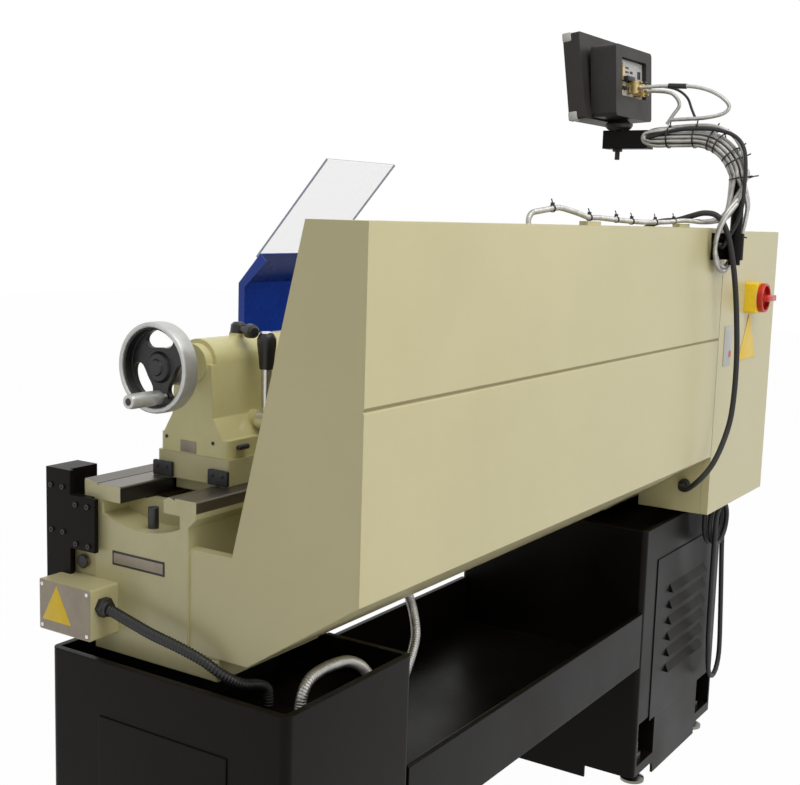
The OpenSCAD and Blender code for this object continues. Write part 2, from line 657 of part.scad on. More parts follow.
// Black cover over the rod ends: an upper and a side plate with a box behind
plate_t = 8;
plate_x = bracket_x1 + 10;
column_y0 = rod_y - 75;
column_y1 = rod_y - 17;
column_h = 205;
column_top = 17;
wing_y1 = rod_y + 41;
wing_h = 91;
wing_down = 24;
module rod_cover() color(black) difference() {
    z1 = way_h + column_top;
    union() {
        span([plate_x, column_y0, z1 - column_h], [plate_x + plate_t, column_y1, z1]);
        span([plate_x, column_y1 - over, way_h - wing_down - wing_h], [plate_x + plate_t, wing_y1, way_h - wing_down]);
        span([bracket_x0 + plate_x - bracket_x1, column_y0, z1 - column_h], [plate_x + over, rod_y - bracket_front - over, z1]);
        span([bed_x1, column_y1 - over, way_h - wing_down - wing_h], [plate_x + over, web_y0 - over, way_h - wing_down]);
    }
    rod_x(screw_r + slide_gap, bracket_x1 - over, plate_x, rod_y, screw_z);
    // notched round the limit switch box
    span([bed_x1 - slide_gap, switch_y0 - slide_gap, z1 - column_h - over],
        [plate_x + plate_t + over, wing_y1, switch_z0 + switch_h + slide_gap]);
}

// Limit switch box on the tail end of the bed
switch_l = 58;
switch_y0 = rod_y - 42;
switch_w = 121;
switch_z0 = control_z - 57;
switch_h = 86;
switch_lid = 3;
switch_in = 2;
module limit_switch_box() color(cream) {
    difference() {
        along_x(bed_x1, bed_x1 + switch_l)
            round_rect([switch_y0, switch_z0], [switch_y0 + switch_w, switch_z0 + switch_h], switch_lid);
        along_x(bed_x1 + switch_in, bed_x1 + switch_l + over)
            round_rect([switch_y0 + switch_in, switch_z0 + switch_in],
                [switch_y0 + switch_w - switch_in, switch_z0 + switch_h - switch_in], switch_in / 2);
        rod_y(conduit_r, switch_y0 + switch_w - 2 * switch_in, switch_y0 + switch_w + over, tray_run[0].x, tray_run[0].z);
    }
    along_x(bed_x1 + switch_l, bed_x1 + switch_l + switch_lid)
        round_rect([switch_y0, switch_z0], [switch_y0 + switch_w, switch_z0 + switch_h], switch_lid);
}

// Conduits: black ribbed one from the switch box, steel ones in the trays and to the readout
conduit_r = 8;
conduit_rib = 1.4;
conduit_bore = 5.5;
hose_r = 9;
hose_rib = 1;
hose_bore = 6;
lead_r = 4.5;
gland_r = 13;
gland_l = 16;
tray_run = [[1000, -99, 748], [1000, -80, 748], [1000, -40, 737], [1000, 10, 724], [996, 60, 714], [986, 105, 698],
    [970, 132, 676], [940, 146, 655], [908, 150, 645], [884, 150, 632], [878, 150, 616], [878, 150, 602]];
arc_run = [[925, 250, 602], [925, 250, 622], [920, 250, 655], [902, 250, 675], [874, 250, 681], [840, 250, 681],
    [800, 250, 675], [765, 250, 658], [738, 250, 633], [730, 250, 618], [730, 250, 602]];
rise_run = [[600, 190, 342], [600, 190, 362], [588, 189, 410], [560, 187, 480], [525, 184, 540], [492, 180, 580],
    [470, 174, 612], [456, 158, 650], [447, 137, 690], [441, 124, 735], [436, 106, 775], [434, 86, 795],
    [434, 70, 800], [434, 53.4, 800]];
top_run = [[405, 340, 1385.4], [404, 340, 1396], [392, 340, 1405], [370, 340, 1408], [342, 340, 1411], [312, 340, 1414],
    [281, 340, 1416], [240, 340, 1412], [200, 340, 1407], [150, 340, 1400], [100, 340, 1400], [-20, 340, 1396],
    [-140, 340, 1394], [-260, 341, 1396], [-340, 343, 1400], [-390, 347, 1400], [-430, 358, 1398], [-462, 376, 1400],
    [-484, 396, 1408], [-490, 412, 1430], [-492, 428, 1470], [-494, 434, 1510], [-496, 424, 1560], [-500, 396, 1600],
    [-504, 350, 1621], [-508, 300, 1624], [-510, 250, 1621], [-511, 215, 1616], [-511, 196, 1614]];
black_run = [[-476, 388, 1343], [-476, 398, 1343], [-482, 412, 1372], [-486, 424, 1400], [-480, 436, 1440],
    [-478, 438, 1480], [-478, 438, 1530], [-480, 430, 1570], [-482, 408, 1596], [-484, 370, 1610], [-484, 320, 1615],
    [-484, 270, 1613], [-484, 230, 1606], [-484, 204, 1598], [-484, 190, 1596]];
module ribbed(route, n, r, rib, bore, pitch) {
    path = curve(route, n);
    s = along(path);
    m = floor(s[len(s) - 1] / pitch) - 2;
    gap = (s[len(s) - 1] - m * pitch) / 2;
    ends = [0, each [for (i = [0:m - 1]) each [gap + i * pitch, gap + (i + 0.5) * pitch]], s[len(s) - 1]];
    spots = [for (d = ends) at(path, s, d)];
    radii = [r, each [for (i = [0:m - 1]) each [r + rib, r]], r];
    tube(spots, radii, 8, bore, 8);
}
// The point at distance d along a path whose running lengths are s
function at(path, s, d) = let(i = max([0, each [for (k = [0:len(s) - 2]) if (s[k] <= d) k]]),
    f = (d - s[i]) / (s[i + 1] - s[i])) path[i] + f * (path[i + 1] - path[i]);
module plain(route, n, r, sides = 8) {
    path = curve(route, n);
    tube(path, [for (p = path) r], sides);
}
module conduits() {
    color(black) {
        ribbed(tray_run, 5, conduit_r, conduit_rib, conduit_bore, 5.5);
        rod_y(gland_r, switch_y0 + switch_w, switch_y0 + switch_w + gland_l, tray_run[0].x, tray_run[0].z);
        plain(black_run, 2, lead_r);
    }
    color(steel) {
        ribbed(arc_run, 5, hose_r, hose_rib, hose_bore, 6);
        ribbed(rise_run, 5, hose_r, hose_rib, hose_bore, 9);
        plain(top_run, 2, lead_r + hose_rib / 2);
    }
}

// Splash guard: bent sheet along the back, a closed tail end, and a flange on the headstock
guard_slope_z0 = seat_h + 36;
guard_slope_y0 = axis_y + 217;
guard_lip = 18;
guard_joggle = 3;
crease_w = 8;
guard_top_y = guard_y - guard_top_d;
guard_shelf_z = guard_slope_z0 + 169;
guard_shelf_y = axis_y + 184;
clip_l = 62;
clip_w = 18;
clip_h = 8;
clip_x = 100;
module splash_guard() color(cream) {
    // folded sheet: lip, top, creased back, slope foot and its lip
    along_x(guard_x0, guard_x1 - guard_t / 2) polygon([[guard_top_y, guard_z1], each guard_back_line(0),
        [guard_slope_y0, guard_slope_z0], [guard_slope_y0 - guard_lip, guard_slope_z0],
        [guard_slope_y0 - guard_lip, guard_slope_z0 + guard_t], [guard_slope_y0 - guard_t / 3, guard_slope_z0 + guard_t],
        each guard_in_line, [guard_top_y + guard_t, guard_z1 - guard_t],
        [guard_top_y + guard_t, guard_z1 - guard_lip], [guard_top_y, guard_z1 - guard_lip]]);
    // end plate at the tail with its returned edges, and the seat on the bed's foot
    difference() {
        along_x(guard_x1 - guard_lip, guard_x1) polygon([[guard_top_y, guard_z1], each guard_back_line(0),
            [guard_slope_y0, guard_slope_z0], [web_y1, guard_slope_z0], [web_y1, guard_shelf_z],
            [guard_shelf_y, guard_shelf_z]]);
        along_x(guard_x1 - guard_lip - over, guard_x1 - guard_t) polygon([
            [guard_top_y + guard_t, guard_z1 - guard_t], each guard_back_line(guard_t),
            [guard_slope_y0 - guard_t / 3, guard_slope_z0 + guard_t], [web_y1 - over, guard_slope_z0 + guard_t],
            [web_y1 - over, guard_shelf_z - guard_t], [guard_shelf_y + guard_t, guard_shelf_z - guard_t]]);
    }
    span([guard_x1 - 2 * guard_lip, web_y1, seat_h + foot_t],
        [guard_x1 - guard_t / 2, web_y1 + foot_back, guard_slope_z0 + guard_t / 2]);
    // flange against the headstock's back
    span([guard_x0, head_y1, guard_z1 - crease_d + crease_w],
        [guard_x0 + guard_t, guard_y - guard_t / 2, head_z1 - lid_h - guard_lip]);
    for (x = [clip_x, clip_x - 8 * clip_l]) span([x, guard_y - guard_top_d / 2, guard_z1 - guard_t / 2],
        [x + clip_l, guard_y - guard_top_d / 2 + clip_w, guard_z1 + clip_h]);
}
guard_in_line = [for (k = [4:-1:0]) guard_back_line(guard_t)[k]];
// The back wall from the top to the slope, with its pressed crease
function guard_back_line(inset) = [[guard_y - inset, guard_z1 - inset], [guard_y - inset, guard_z1 - crease_d],
    [guard_y - inset - guard_joggle, guard_z1 - crease_d - crease_w / 2],
    [guard_y - inset, guard_z1 - crease_d - crease_w], [guard_y - inset, guard_z0 + inset / 2]];

// Electrical cabinet behind the headstock: box, door frame, stand-offs and hinge
cab_x1 = guard_x0 - guard_t;
cab_x0 = cab_x1 - cab_w;
cab_z1 = guard_z1 - 7;
cab_z0 = cab_z1 - cab_h;
cab_y1 = guard_y - door_d;
cab_y0 = cab_y1 - cab_d;
door_gap = 0.4;
door_hinge_x = cab_x0 - 4;
door_hinge_y = cab_y1 + door_d / 2;
door_hinge_r = 3.5;
door_pin_r = 2.5;
door_hinge_l = 60;
door_hinge_share = [0.14, 0.8];
cab_rim = 14;
standoff_r = 12;
module electrical_cabinet() color(cream) {
    difference() {
        union() {
            difference() {
                span([cab_x0, cab_y0, cab_z0], [cab_x1, cab_y1, cab_z1]);
                span([cab_x0 + cab_t, cab_y0 + cab_t, cab_z0 + cab_t], [cab_x1 - cab_t, cab_y1 - cab_t, cab_z1 - cab_t]);
                span([cab_x0 + cab_rim, cab_y1 - 2 * cab_t, cab_z0 + cab_rim], [cab_x1 - cab_rim, cab_y1 + over, cab_z1 - cab_rim]);
            }
            for (x = [head_x0 + 4 * standoff_r, cab_x1 - 4 * standoff_r],
                z = [way_h + 4 * standoff_r, head_z1 - 6 * standoff_r]) rod_y(standoff_r, head_y1, cab_y0 + over, x, z);
        }
        rod_x(signal_r + slide_gap, cab_x1 - 2 * cab_t, cab_x1 + over, signal_run[0].y, signal_run[0].z);
        for (x = [power_in_x, power_out_x]) rod_z(power_r + slide_gap, cab_z0 - over, cab_z0 + 2 * cab_t, x, power_y);
    }
    for (f = door_hinge_share) {
        z = cab_z0 + f * cab_h;
        rod_z(door_pin_r, z, z + 2 * door_hinge_l, door_hinge_x, door_hinge_y);
        rod_z(door_hinge_r, z, z + door_hinge_l - door_gap, door_hinge_x, door_hinge_y);
        span([door_hinge_x - door_hinge_r, cab_y1 - door_hinge_l / 2, z],
            [cab_x0 + over, cab_y1, z + door_hinge_l - door_gap]);
        span([door_hinge_x - door_hinge_r, cab_y1 - over, z],
            [door_hinge_x, door_hinge_y - over, z + door_hinge_l - door_gap]);
    }
}

// Switchgear on the cabinet's back plate: plate, rails, contactors, drive and terminals
gear_plate_t = 3;
gear_plate_in = 25;
din_w = 35;
din_t = 7.5;
gear_rows = [0.26, 0.52, 0.78];
gear_widths = [45, 45, 45, 90, 60];
gear_depth = 70;
gear_tall = 85;
gear_space = 8;
module electrical_gear() {
    y0 = cab_y0 + cab_t;
    color([0.72, 0.72, 0.70]) {
        span([cab_x0 + gear_plate_in, y0, cab_z0 + gear_plate_in], [cab_x1 - gear_plate_in, y0 + gear_plate_t, cab_z1 - gear_plate_in]);
        for (f = gear_rows) span([cab_x0 + 2 * gear_plate_in, y0 + gear_plate_t - over / 10, cab_z0 + f * cab_h - din_w / 2],
            [cab_x1 - 2 * gear_plate_in, y0 + gear_plate_t + din_t, cab_z0 + f * cab_h + din_w / 2]);
    }
    color(black) for (f = gear_rows, k = [0:len(gear_widths) - 1]) {
        before = k == 0 ? 0 : [for (i = [0:k - 1]) gear_widths[i] + gear_space] * [for (i = [0:k - 1]) 1];
        x = cab_x0 + 2 * gear_plate_in + gear_space + before;
        tall = f == gear_rows[0] ? gear_tall / 2 : gear_tall;
        y1 = y0 + gear_plate_t + din_t + gear_depth;
        difference() {
            span([x, y0 + gear_plate_t + din_t - over / 10, cab_z0 + f * cab_h - tall / 2], [x + gear_widths[k], y1, cab_z0 + f * cab_h + tall / 2]);
            for (z = [-1, 1]) span([x - over, y1 - gear_space, cab_z0 + f * cab_h + z * tall / 2 - gear_space],
                [x + gear_widths[k] + over, y1 + over, cab_z0 + f * cab_h + z * tall / 2 + gear_space]);
        }
    }
}

// Signal cable from the cabinet's side over the guard to the headstock lid
signal_r = 6.5;
signal_run = [[-525, 319, 753], [-510, 319, 753], [-490, 330, 752], [-466, 352, 758], [-450, 384, 785],
    [-466, 408, 822], [-490, 422, 870], [-516, 430, 930], [-524, 433, 1000], [-520, 434, 1080], [-504, 434, 1160],
    [-482, 433, 1240], [-462, 428, 1310], [-446, 416, 1375], [-432, 396, 1412], [-420, 368, 1419], [-414, 335, 1410],
    [-414, 305, 1401], [-420, 272, 1398], [-440, 240, 1392], [-472, 205, 1380], [-510, 172, 1372], [-545, 150, 1362],
    [-560, 142, 1345], [-560, 142, 1326]];
module signal_cable() color(black) {
    plain(signal_run, 2, signal_r);
    rod_x(gland_r, cab_x1, signal_run[0].x, signal_run[0].y, signal_run[0].z);
    last = signal_run[len(signal_run) - 1];
    rod_z(gland_r, head_z1, last.z, last.x, last.y);
}

// Power cable under the cabinet: two hung loops, then one long loop back to a second gland
power_r = 6.5;
power_y = 322;
power_in_x = -700;
power_out_x = -844;
power_loop_r = 54;
power_loop_z = 616;
power_loops = 2;
power_pitch = 15;
power_down = [[-700, 352, 590], [-704, 350, 540], [-716, 346, 470], [-735, 340, 390], [-755, 334, 310], [-772, 331, 255],
    [-782, 330, 215], [-800, 329, 184], [-828, 328, 170], [-858, 327, 178], [-878, 326, 205], [-884, 325, 245],
    [-880, 324, 310], [-868, 323, 420], [-856, 322, 520], [-848, 322, 600], [-844, 322, 645]];
power_gland_l = 18;
power_coil = [for (k = [0:24 * power_loops]) [power_in_x + power_loop_r * (cos(15 * k) - 1),
    power_y + power_pitch * k / 24, power_loop_z - power_loop_r * sin(15 * k)]];
power_path = concat([[power_in_x, power_y, cab_z0 - power_gland_l], [power_in_x, power_y, cab_z0 - 2 * power_gland_l]],
    power_coil, curve(power_down, 2), [[power_out_x, power_y, cab_z0 - power_gland_l]]);
coil_gap = min([for (i = [0:len(power_coil) - 20], j = [i + 18:len(power_coil) - 1]) norm(power_coil[i] - power_coil[j])])
    - 2 * power_r;
echo(coil_gap = coil_gap, power_cable_length = length_of(power_path));
module power_cable() color(black) {
    tube(power_path, [for (p = power_path) power_r], 8);
    for (x = [power_in_x, power_out_x]) rod_z(gland_r, cab_z0 - power_gland_l, cab_z0, x, power_y);
}

// Readout arm: bracket on the guard, bent post, end block with a bore for the display's stud
arm_x = -510;
arm_y = guard_y + 35;
arm_bend_z = guard_z1 + arm_over - arm_bend;
arm_z = guard_z1 + arm_over;
arm_low_z = guard_z1 - 85;
arm_bracket_z0 = guard_z1 - 73;
arm_bracket_h = 62;
arm_bracket_x1 = arm_x + 66;
arm_bracket_x0 = arm_x - 28;
arm_bracket_t = 6;
arm_clamp_r = 20;
block_w = 40;
block_h = 44;
block_z0 = arm_z - 21;
block_y1 = axis_y + 233;
block_y0 = axis_y + 117;
stud_y = axis_y + 149;
stud_r = 6;
module readout_arm() color(black) {
    difference() {
        union() {
            span([arm_bracket_x0, guard_y, arm_bracket_z0], [arm_bracket_x1, guard_y + arm_bracket_t, arm_bracket_z0 + arm_bracket_h]);
            span([arm_x - arm_r / 2, guard_y + over, arm_bracket_z0], [arm_x + arm_r / 2, arm_y, arm_bracket_z0 + arm_bracket_h]);
            rod_z(arm_clamp_r, arm_bracket_z0, arm_bracket_z0 + arm_bracket_h, arm_x, arm_y);
        }
        rod_z(arm_r, arm_bracket_z0 - over, arm_bracket_z0 + arm_bracket_h + over, arm_x, arm_y);
    }
    rod_z(arm_r, arm_low_z, arm_bend_z, arm_x, arm_y);
    translate([arm_x, arm_y - arm_bend, arm_bend_z]) rotate([90, 0, 90]) rotate_extrude(angle = 90)
        translate([arm_bend, 0]) circle(arm_r);
    rod_y(arm_r, block_y1 - over, arm_y - arm_bend, arm_x, arm_z);
    difference() {
        span([arm_x - block_w / 2, block_y0, block_z0], [arm_x + block_w / 2, block_y1, block_z0 + block_h]);
        rod_z(stud_r + shaft_gap, block_z0 - over, block_z0 + block_h + over, arm_x, stud_y);
    }
    for (dx = [0.25, 0.55, 0.85], dz = [0.2, 0.8]) rod_y(arm_bracket_t / 2, guard_y + arm_bracket_t - over,
        guard_y + 2 * arm_bracket_t, arm_x + (arm_bracket_x1 - arm_x) * dx + arm_r / 2, arm_bracket_z0 + arm_bracket_h * dz);
}

// Readout display: bezel and housing on a stud with a clamping knob
stud_low = 26;
knob_r = 32;
knob_gap = 2;
case_z0 = block_z0 + block_h + 26;
case_lean = 3.5;
bezel_lean = 4.5;
case_y0 = axis_y + 124;
bezel_y0 = axis_y + 82;
recess_d = 12;
recess_w = 150;
recess_h = 90;
recess_z = 50;
case_r = 10;
screen_w = 190;
screen_h = 76;
screen_d = 3;
key_n = 6;
key_w = 22;
key_h = 14;
key_out = 2;
module readout_display() {
    color(black) {
        turned_z(arm_x, stud_y, block_z0 + block_h + knob_gap, [[0, 0], [knob_r * 0.8, 0], [knob_r, knob_gap * 3],
            [knob_r, knob_gap * 7], [knob_r * 0.6, case_z0 - block_z0 - block_h], [0, case_z0 - block_z0 - block_h]]);
        rod_z(stud_r, block_z0 - stud_low, block_z0 + block_h + 2 * knob_gap, arm_x, stud_y);
        translate([arm_x, stud_y, block_z0 - slide_gap - stud_r]) cylinder(r = 2 * stud_r, h = stud_r, $fn = 6);
    }
    color([0.30, 0.29, 0.28]) translate([arm_x, stud_y, case_z0]) rotate([case_lean, 0, 0]) difference() {
        union() {
            along_y(case_y0 - stud_y, case_y0 - stud_y + dro_d) round_rect([-dro_w / 2, 0], [dro_w / 2, dro_h], case_r);
            rotate([bezel_lean, 0, 0]) along_y(case_y0 - stud_y - bezel_d + over, case_y0 - stud_y + over)
                round_rect([-bezel_w / 2, -knob_gap], [bezel_w / 2, bezel_h - knob_gap], case_r / 2);
        }
        along_y(case_y0 - stud_y + dro_d - recess_d, case_y0 - stud_y + dro_d + over)
            round_rect([-recess_w / 2, recess_z], [recess_w / 2, recess_z + recess_h], case_r / 2);
        rotate([bezel_lean, 0, 0]) along_y(case_y0 - stud_y - bezel_d, case_y0 - stud_y - bezel_d + screen_d + over)
            round_rect([-bezel_w / 2 + 2 * case_r, bezel_h - 2 * case_r - screen_h], [-bezel_w / 2 + 2 * case_r + screen_w, bezel_h - 2 * case_r], case_r / 2);
    }
    color([0.75, 0.75, 0.73]) translate([arm_x, stud_y, case_z0]) rotate([case_lean + bezel_lean, 0, 0])
        for (i = [0:2 * key_n - 1]) along_y(case_y0 - stud_y - bezel_d - key_out, case_y0 - stud_y - bezel_d + 2 * over)
            translate([-bezel_w / 2 + 2 * case_r + (i % key_n) * key_w * 1.5, 2 * case_r + floor(i / key_n) * key_h * 1.8])
                square([key_w, key_h]);
}

// Leads from the display's sockets down towards the arm
steel_loop = [[-490, 155, 1712], [-490, 184, 1715], [-490, 240, 1716], [-490, 306, 1711], [-490, 355, 1694],
    [-490, 385, 1668], [-491, 374, 1650], [-494, 332, 1641], [-500, 284, 1639], [-505, 240, 1638]];
steel_short = [[-530, 155, 1708], [-530, 188, 1709], [-530, 230, 1698], [-530, 250, 1676], [-530, 240, 1656],
    [-530, 228, 1640]];
black_lead = [[-552, 155, 1722], [-552, 192, 1722], [-552, 232, 1714], [-552, 260, 1694], [-550, 274, 1666],
    [-546, 288, 1640]];
plug_l = 30;
plug_w = 30;
plug_h = 13;
module display_leads() {
    color(steel) {
        plain(steel_loop, 2, lead_r);
        plain(steel_short, 3, lead_r);
    }
    color(black) plain(black_lead, 3, lead_r * 0.7);
    plug_y = case_y0 - stud_y + dro_d - recess_d + slide_gap;
    color([0.6, 0.52, 0.3]) translate([arm_x, stud_y, case_z0]) rotate([case_lean, 0, 0])
        for (p = [steel_loop[0], steel_short[0], black_lead[0]])
            span([p.x - arm_x - plug_h / 2, plug_y, p.z - case_z0 - plug_w / 2],
                [p.x - arm_x + plug_h / 2, plug_y + plug_l, p.z - case_z0 + plug_w / 2]);
}

// Motor on its foot, bored for the pulley's shaft
bell_l = 24;
fin_n = 28;
fin_h = 8;
fin_t = 3;
foot_w = 170;
term_box = [80, 70, 34];
module motor() color([0.25, 0.28, 0.30]) difference() {
    union() {
        turned_x(motor_x0, motor_y, motor_z, [[0, 0], [motor_r * 0.55, 0], [motor_r - fin_h, bell_l], [motor_r - fin_h, motor_l - bell_l],
            [motor_r * 0.8, motor_l], [0, motor_l]]);
        for (k = [0:fin_n - 1]) translate([motor_x0 + bell_l, motor_y, motor_z]) rotate([360 * k / fin_n, 0, 0])
            span([0, motor_r - 2 * fin_h, -fin_t / 2], [motor_l - 3 * bell_l, motor_r, fin_t / 2]);
        span([motor_x0 + bell_l, motor_y - foot_w / 2, shelf_z], [motor_x1 - 3 * bell_l, motor_y + foot_w / 2, shelf_z + motor_foot_t]);
        span([motor_x0 + bell_l, motor_y - foot_w / 4, shelf_z], [motor_x1 - 3 * bell_l, motor_y + foot_w / 4, motor_z]);
        span([motor_x0 + 2 * bell_l, motor_y - term_box.y / 2, motor_z], [motor_x0 + 2 * bell_l + term_box.x, motor_y + term_box.y / 2, motor_z + motor_r + term_box.z]);
    }
    rod_x(input_shaft_r + shaft_gap, motor_x0 - over, motor_x0 + shaft_in, motor_y, motor_z);
}

// Three drive belts round the two pulleys; each pulley has a groove for every belt
belt_n = 3;
belt_w = 13;
belt_pitch = 19;
belt_h = 9;
belt_deep = 2;
pulley_l = 60;
pulley_x0 = head_x0 - 85;
hub_r = 26;
function belt_x(i) = pulley_x0 + pulley_l / 2 + (i - (belt_n - 1) / 2) * belt_pitch;
// Tangent outline of a belt whose inner face runs grow outside the groove floors
belt_steps = 24; // straight steps round each pulley
function belt_line(grow) = let (tilt = asin((pulley_r - motor_pulley_r) / (input_z - motor_z)),
    a = (pulley_r - belt_h + belt_deep + grow) / cos((90 + tilt) / belt_steps),
    b = (motor_pulley_r - belt_h + belt_deep + grow) / cos((90 - tilt) / belt_steps))
    [for (k = [0:belt_steps]) let (t = -tilt + k * (180 + 2 * tilt) / belt_steps)
        [input_y + a * cos(t), input_z + a * sin(t)],
    for (k = [0:belt_steps]) let (t = 180 + tilt + k * (180 - 2 * tilt) / belt_steps)
        [motor_y + b * cos(t), motor_z + b * sin(t)]];
module drive_belts() color(black) for (i = [0:belt_n - 1]) difference() {
    along_x(belt_x(i) - belt_w / 2, belt_x(i) + belt_w / 2) polygon(belt_line(belt_h));
    along_x(belt_x(i) - belt_w / 2 - over, belt_x(i) + belt_w / 2 + over) polygon(belt_line(0));
}
module grooved_pulley(r, y, z) difference() {
    rod_x(r, pulley_x0, pulley_x0 + pulley_l, y, z);
    for (i = [0:belt_n - 1]) difference() {
        rod_x(r + over, belt_x(i) - belt_w / 2 - slide_gap, belt_x(i) + belt_w / 2 + slide_gap, y, z);
        rod_x(r - belt_h + belt_deep - slide_gap, belt_x(i) - belt_w, belt_x(i) + belt_w, y, z);
    }
    // web recess and lightening holes
    difference() {
        rod_x(r - belt_h * 2, pulley_x0 - over, pulley_x0 + pulley_l / 4, y, z);
        rod_x(hub_r, pulley_x0 - 2 * over, pulley_x0 + pulley_l / 3, y, z);
    }
}
module input_pulley() color([0.4, 0.4, 0.4]) {
    grooved_pulley(pulley_r, input_y, input_z);
    rod_x(input_shaft_r, pulley_x0 + over, head_x0 + shaft_in - over, input_y, input_z);
    translate([pulley_x0 - belt_w / 2, input_y, input_z]) rotate([0, 90, 0]) cylinder(r = input_shaft_r, h = belt_w, $fn = 6);
}
module motor_pulley() color([0.4, 0.4, 0.4]) {
    grooved_pulley(motor_pulley_r, motor_y, motor_z);
    rod_x(input_shaft_r, pulley_x0 + over, motor_x0 + shaft_in - over, motor_y, motor_z);
}

// Cabinet door with the switch base, its warning plates left bare
door_return_t = 2;
switch_base = 76;
switch_base_t = 30;
switch_x = cab_x1 - 215;
switch_z = cab_z1 - 165;
switch_shaft_r = 5;
tri_x = cab_x1 - 225;
tri_top_z = cab_z1 - 203;
tri_w = 135;
tri_h = 120;
tag_x = cab_x1 - 67;
tag_w = 53;
tag_h = 98;
tag_top_z = cab_z1 - 231;
sign_t = 0.8;
module cabinet_door() {
    y0 = cab_y1 + door_gap;
    color(cream) {
        difference() {
            along_y(y0, guard_y) round_rect([cab_x0, cab_z0], [cab_x1, cab_z1], door_return_t);
            span([cab_x0 + door_return_t, y0 - over, cab_z0 + door_return_t],
                [cab_x1 - door_return_t, guard_y - door_return_t, cab_z1 - door_return_t]);
        }
        for (f = door_hinge_share) {
            z = cab_z0 + f * cab_h + door_hinge_l;
            difference() {
                union() {
                    rod_z(door_hinge_r, z, z + door_hinge_l, door_hinge_x, door_hinge_y);
                    span([door_hinge_x, door_hinge_y, z], [cab_x0 + door_return_t, door_hinge_y + door_hinge_r, z + door_hinge_l]);
                }
                rod_z(door_pin_r + shaft_gap, z - over, z + door_hinge_l + over, door_hinge_x, door_hinge_y);
            }
        }
    }
    color([0.90, 0.72, 0.10]) difference() {
        along_y(guard_y - over / 2, guard_y + switch_base_t)
            round_rect([switch_x - switch_base / 2, switch_z - switch_base / 2], [switch_x + switch_base / 2, switch_z + switch_base / 2], casing_r);
        rod_y(switch_shaft_r + shaft_gap, guard_y + door_return_t, guard_y + switch_base_t + over, switch_x, switch_z);
    }
    color([0.90, 0.72, 0.10]) along_y(guard_y - over / 2, guard_y + sign_t)
        polygon([[tri_x - tri_w / 2, tri_top_z - tri_h], [tri_x + tri_w / 2, tri_top_z - tri_h], [tri_x, tri_top_z]]);
    color(steel) along_y(guard_y - over / 2, guard_y + sign_t)
        square_at(tag_x - tag_w / 2, tag_top_z - tag_h, tag_w, tag_h);
}
module square_at(x, z, w, h) translate([x, z]) square([w, h]);

// Main switch knob: collar and a gripped bar
switch_knob_r = 30;
switch_knob_t = 12;
switch_bar_w = 18;
switch_bar_h = 18;
module main_switch_knob() color([0.75, 0.12, 0.08]) {
    y0 = guard_y + switch_base_t + slide_gap;
    turned_y(switch_x, y0, switch_z, [[0, 0], [switch_knob_r, 0], [switch_knob_r, switch_knob_t * 0.6],
        [switch_knob_r * 0.8, switch_knob_t], [0, switch_knob_t]]);
    along_y(y0 + switch_knob_t - over, y0 + switch_knob_t + switch_bar_h)
        round_rect([switch_x - switch_bar_w / 2, switch_z - switch_knob_r], [switch_x + switch_bar_w / 2, switch_z + switch_knob_r], switch_bar_w / 3);
    rod_y(switch_shaft_r, guard_y + 2 * door_return_t, y0 + over, switch_x, switch_z);
}

// Spindle with a nose flange and a through bore
spindle_tail = 20;
nose_l = 30;
nose_r = 82;
chuck_x0 = head_x1 + nose_l;
chuck_x1 = chuck_x0 + chuck_l;
module spindle() color(steel) difference() {
    union() {
        rod_x(spindle_r, head_x0 - spindle_tail, chuck_x0, axis_y, axis_z);
        rod_x(nose_r, head_x1 + 2 * lid_in, chuck_x0, axis_y, axis_z);
    }
    rod_x(bore_r, head_x0 - spindle_tail - over, chuck_x0 + over, axis_y, axis_z);
}

// Chuck body with three slots and key sockets
slot_d = 24;
chamfer = 4;
key_socket = 12;
key_d = 22;
jaw_angles = [0, 120, 240];
module on_spindle(a) translate([0, axis_y, axis_z]) rotate([a, 0, 0]) children();
module chuck_body() color(steel) difference() {
    turned_x(chuck_x0, axis_y, axis_z, [[bore_r, 0], [chuck_r - 2 * chamfer, 0], [chuck_r - 2 * chamfer, chuck_l / 4],
        [chuck_r, chuck_l / 4 + chamfer], [chuck_r, chuck_l - chamfer], [chuck_r - chamfer, chuck_l], [bore_r, chuck_l]]);
    for (a = jaw_angles) on_spindle(a) {
        span([chuck_x1 - slot_d, -jaw_w / 2 - slide_gap, 0], [chuck_x1 + over, jaw_w / 2 + slide_gap, chuck_r + over]);
        span([chuck_x1 - slot_d, -jaw_w / 2 - chamfer - slide_gap, 0],
            [chuck_x1 - slot_d + 2 * chamfer + slide_gap, jaw_w / 2 + chamfer + slide_gap, chuck_r + over]);
        rotate([60, 0, 0]) span([(chuck_x0 + chuck_x1) / 2 - key_socket / 2, -key_socket / 2, chuck_r - key_d],
            [(chuck_x0 + chuck_x1) / 2 + key_socket / 2, key_socket / 2, chuck_r + over]);
    }
}

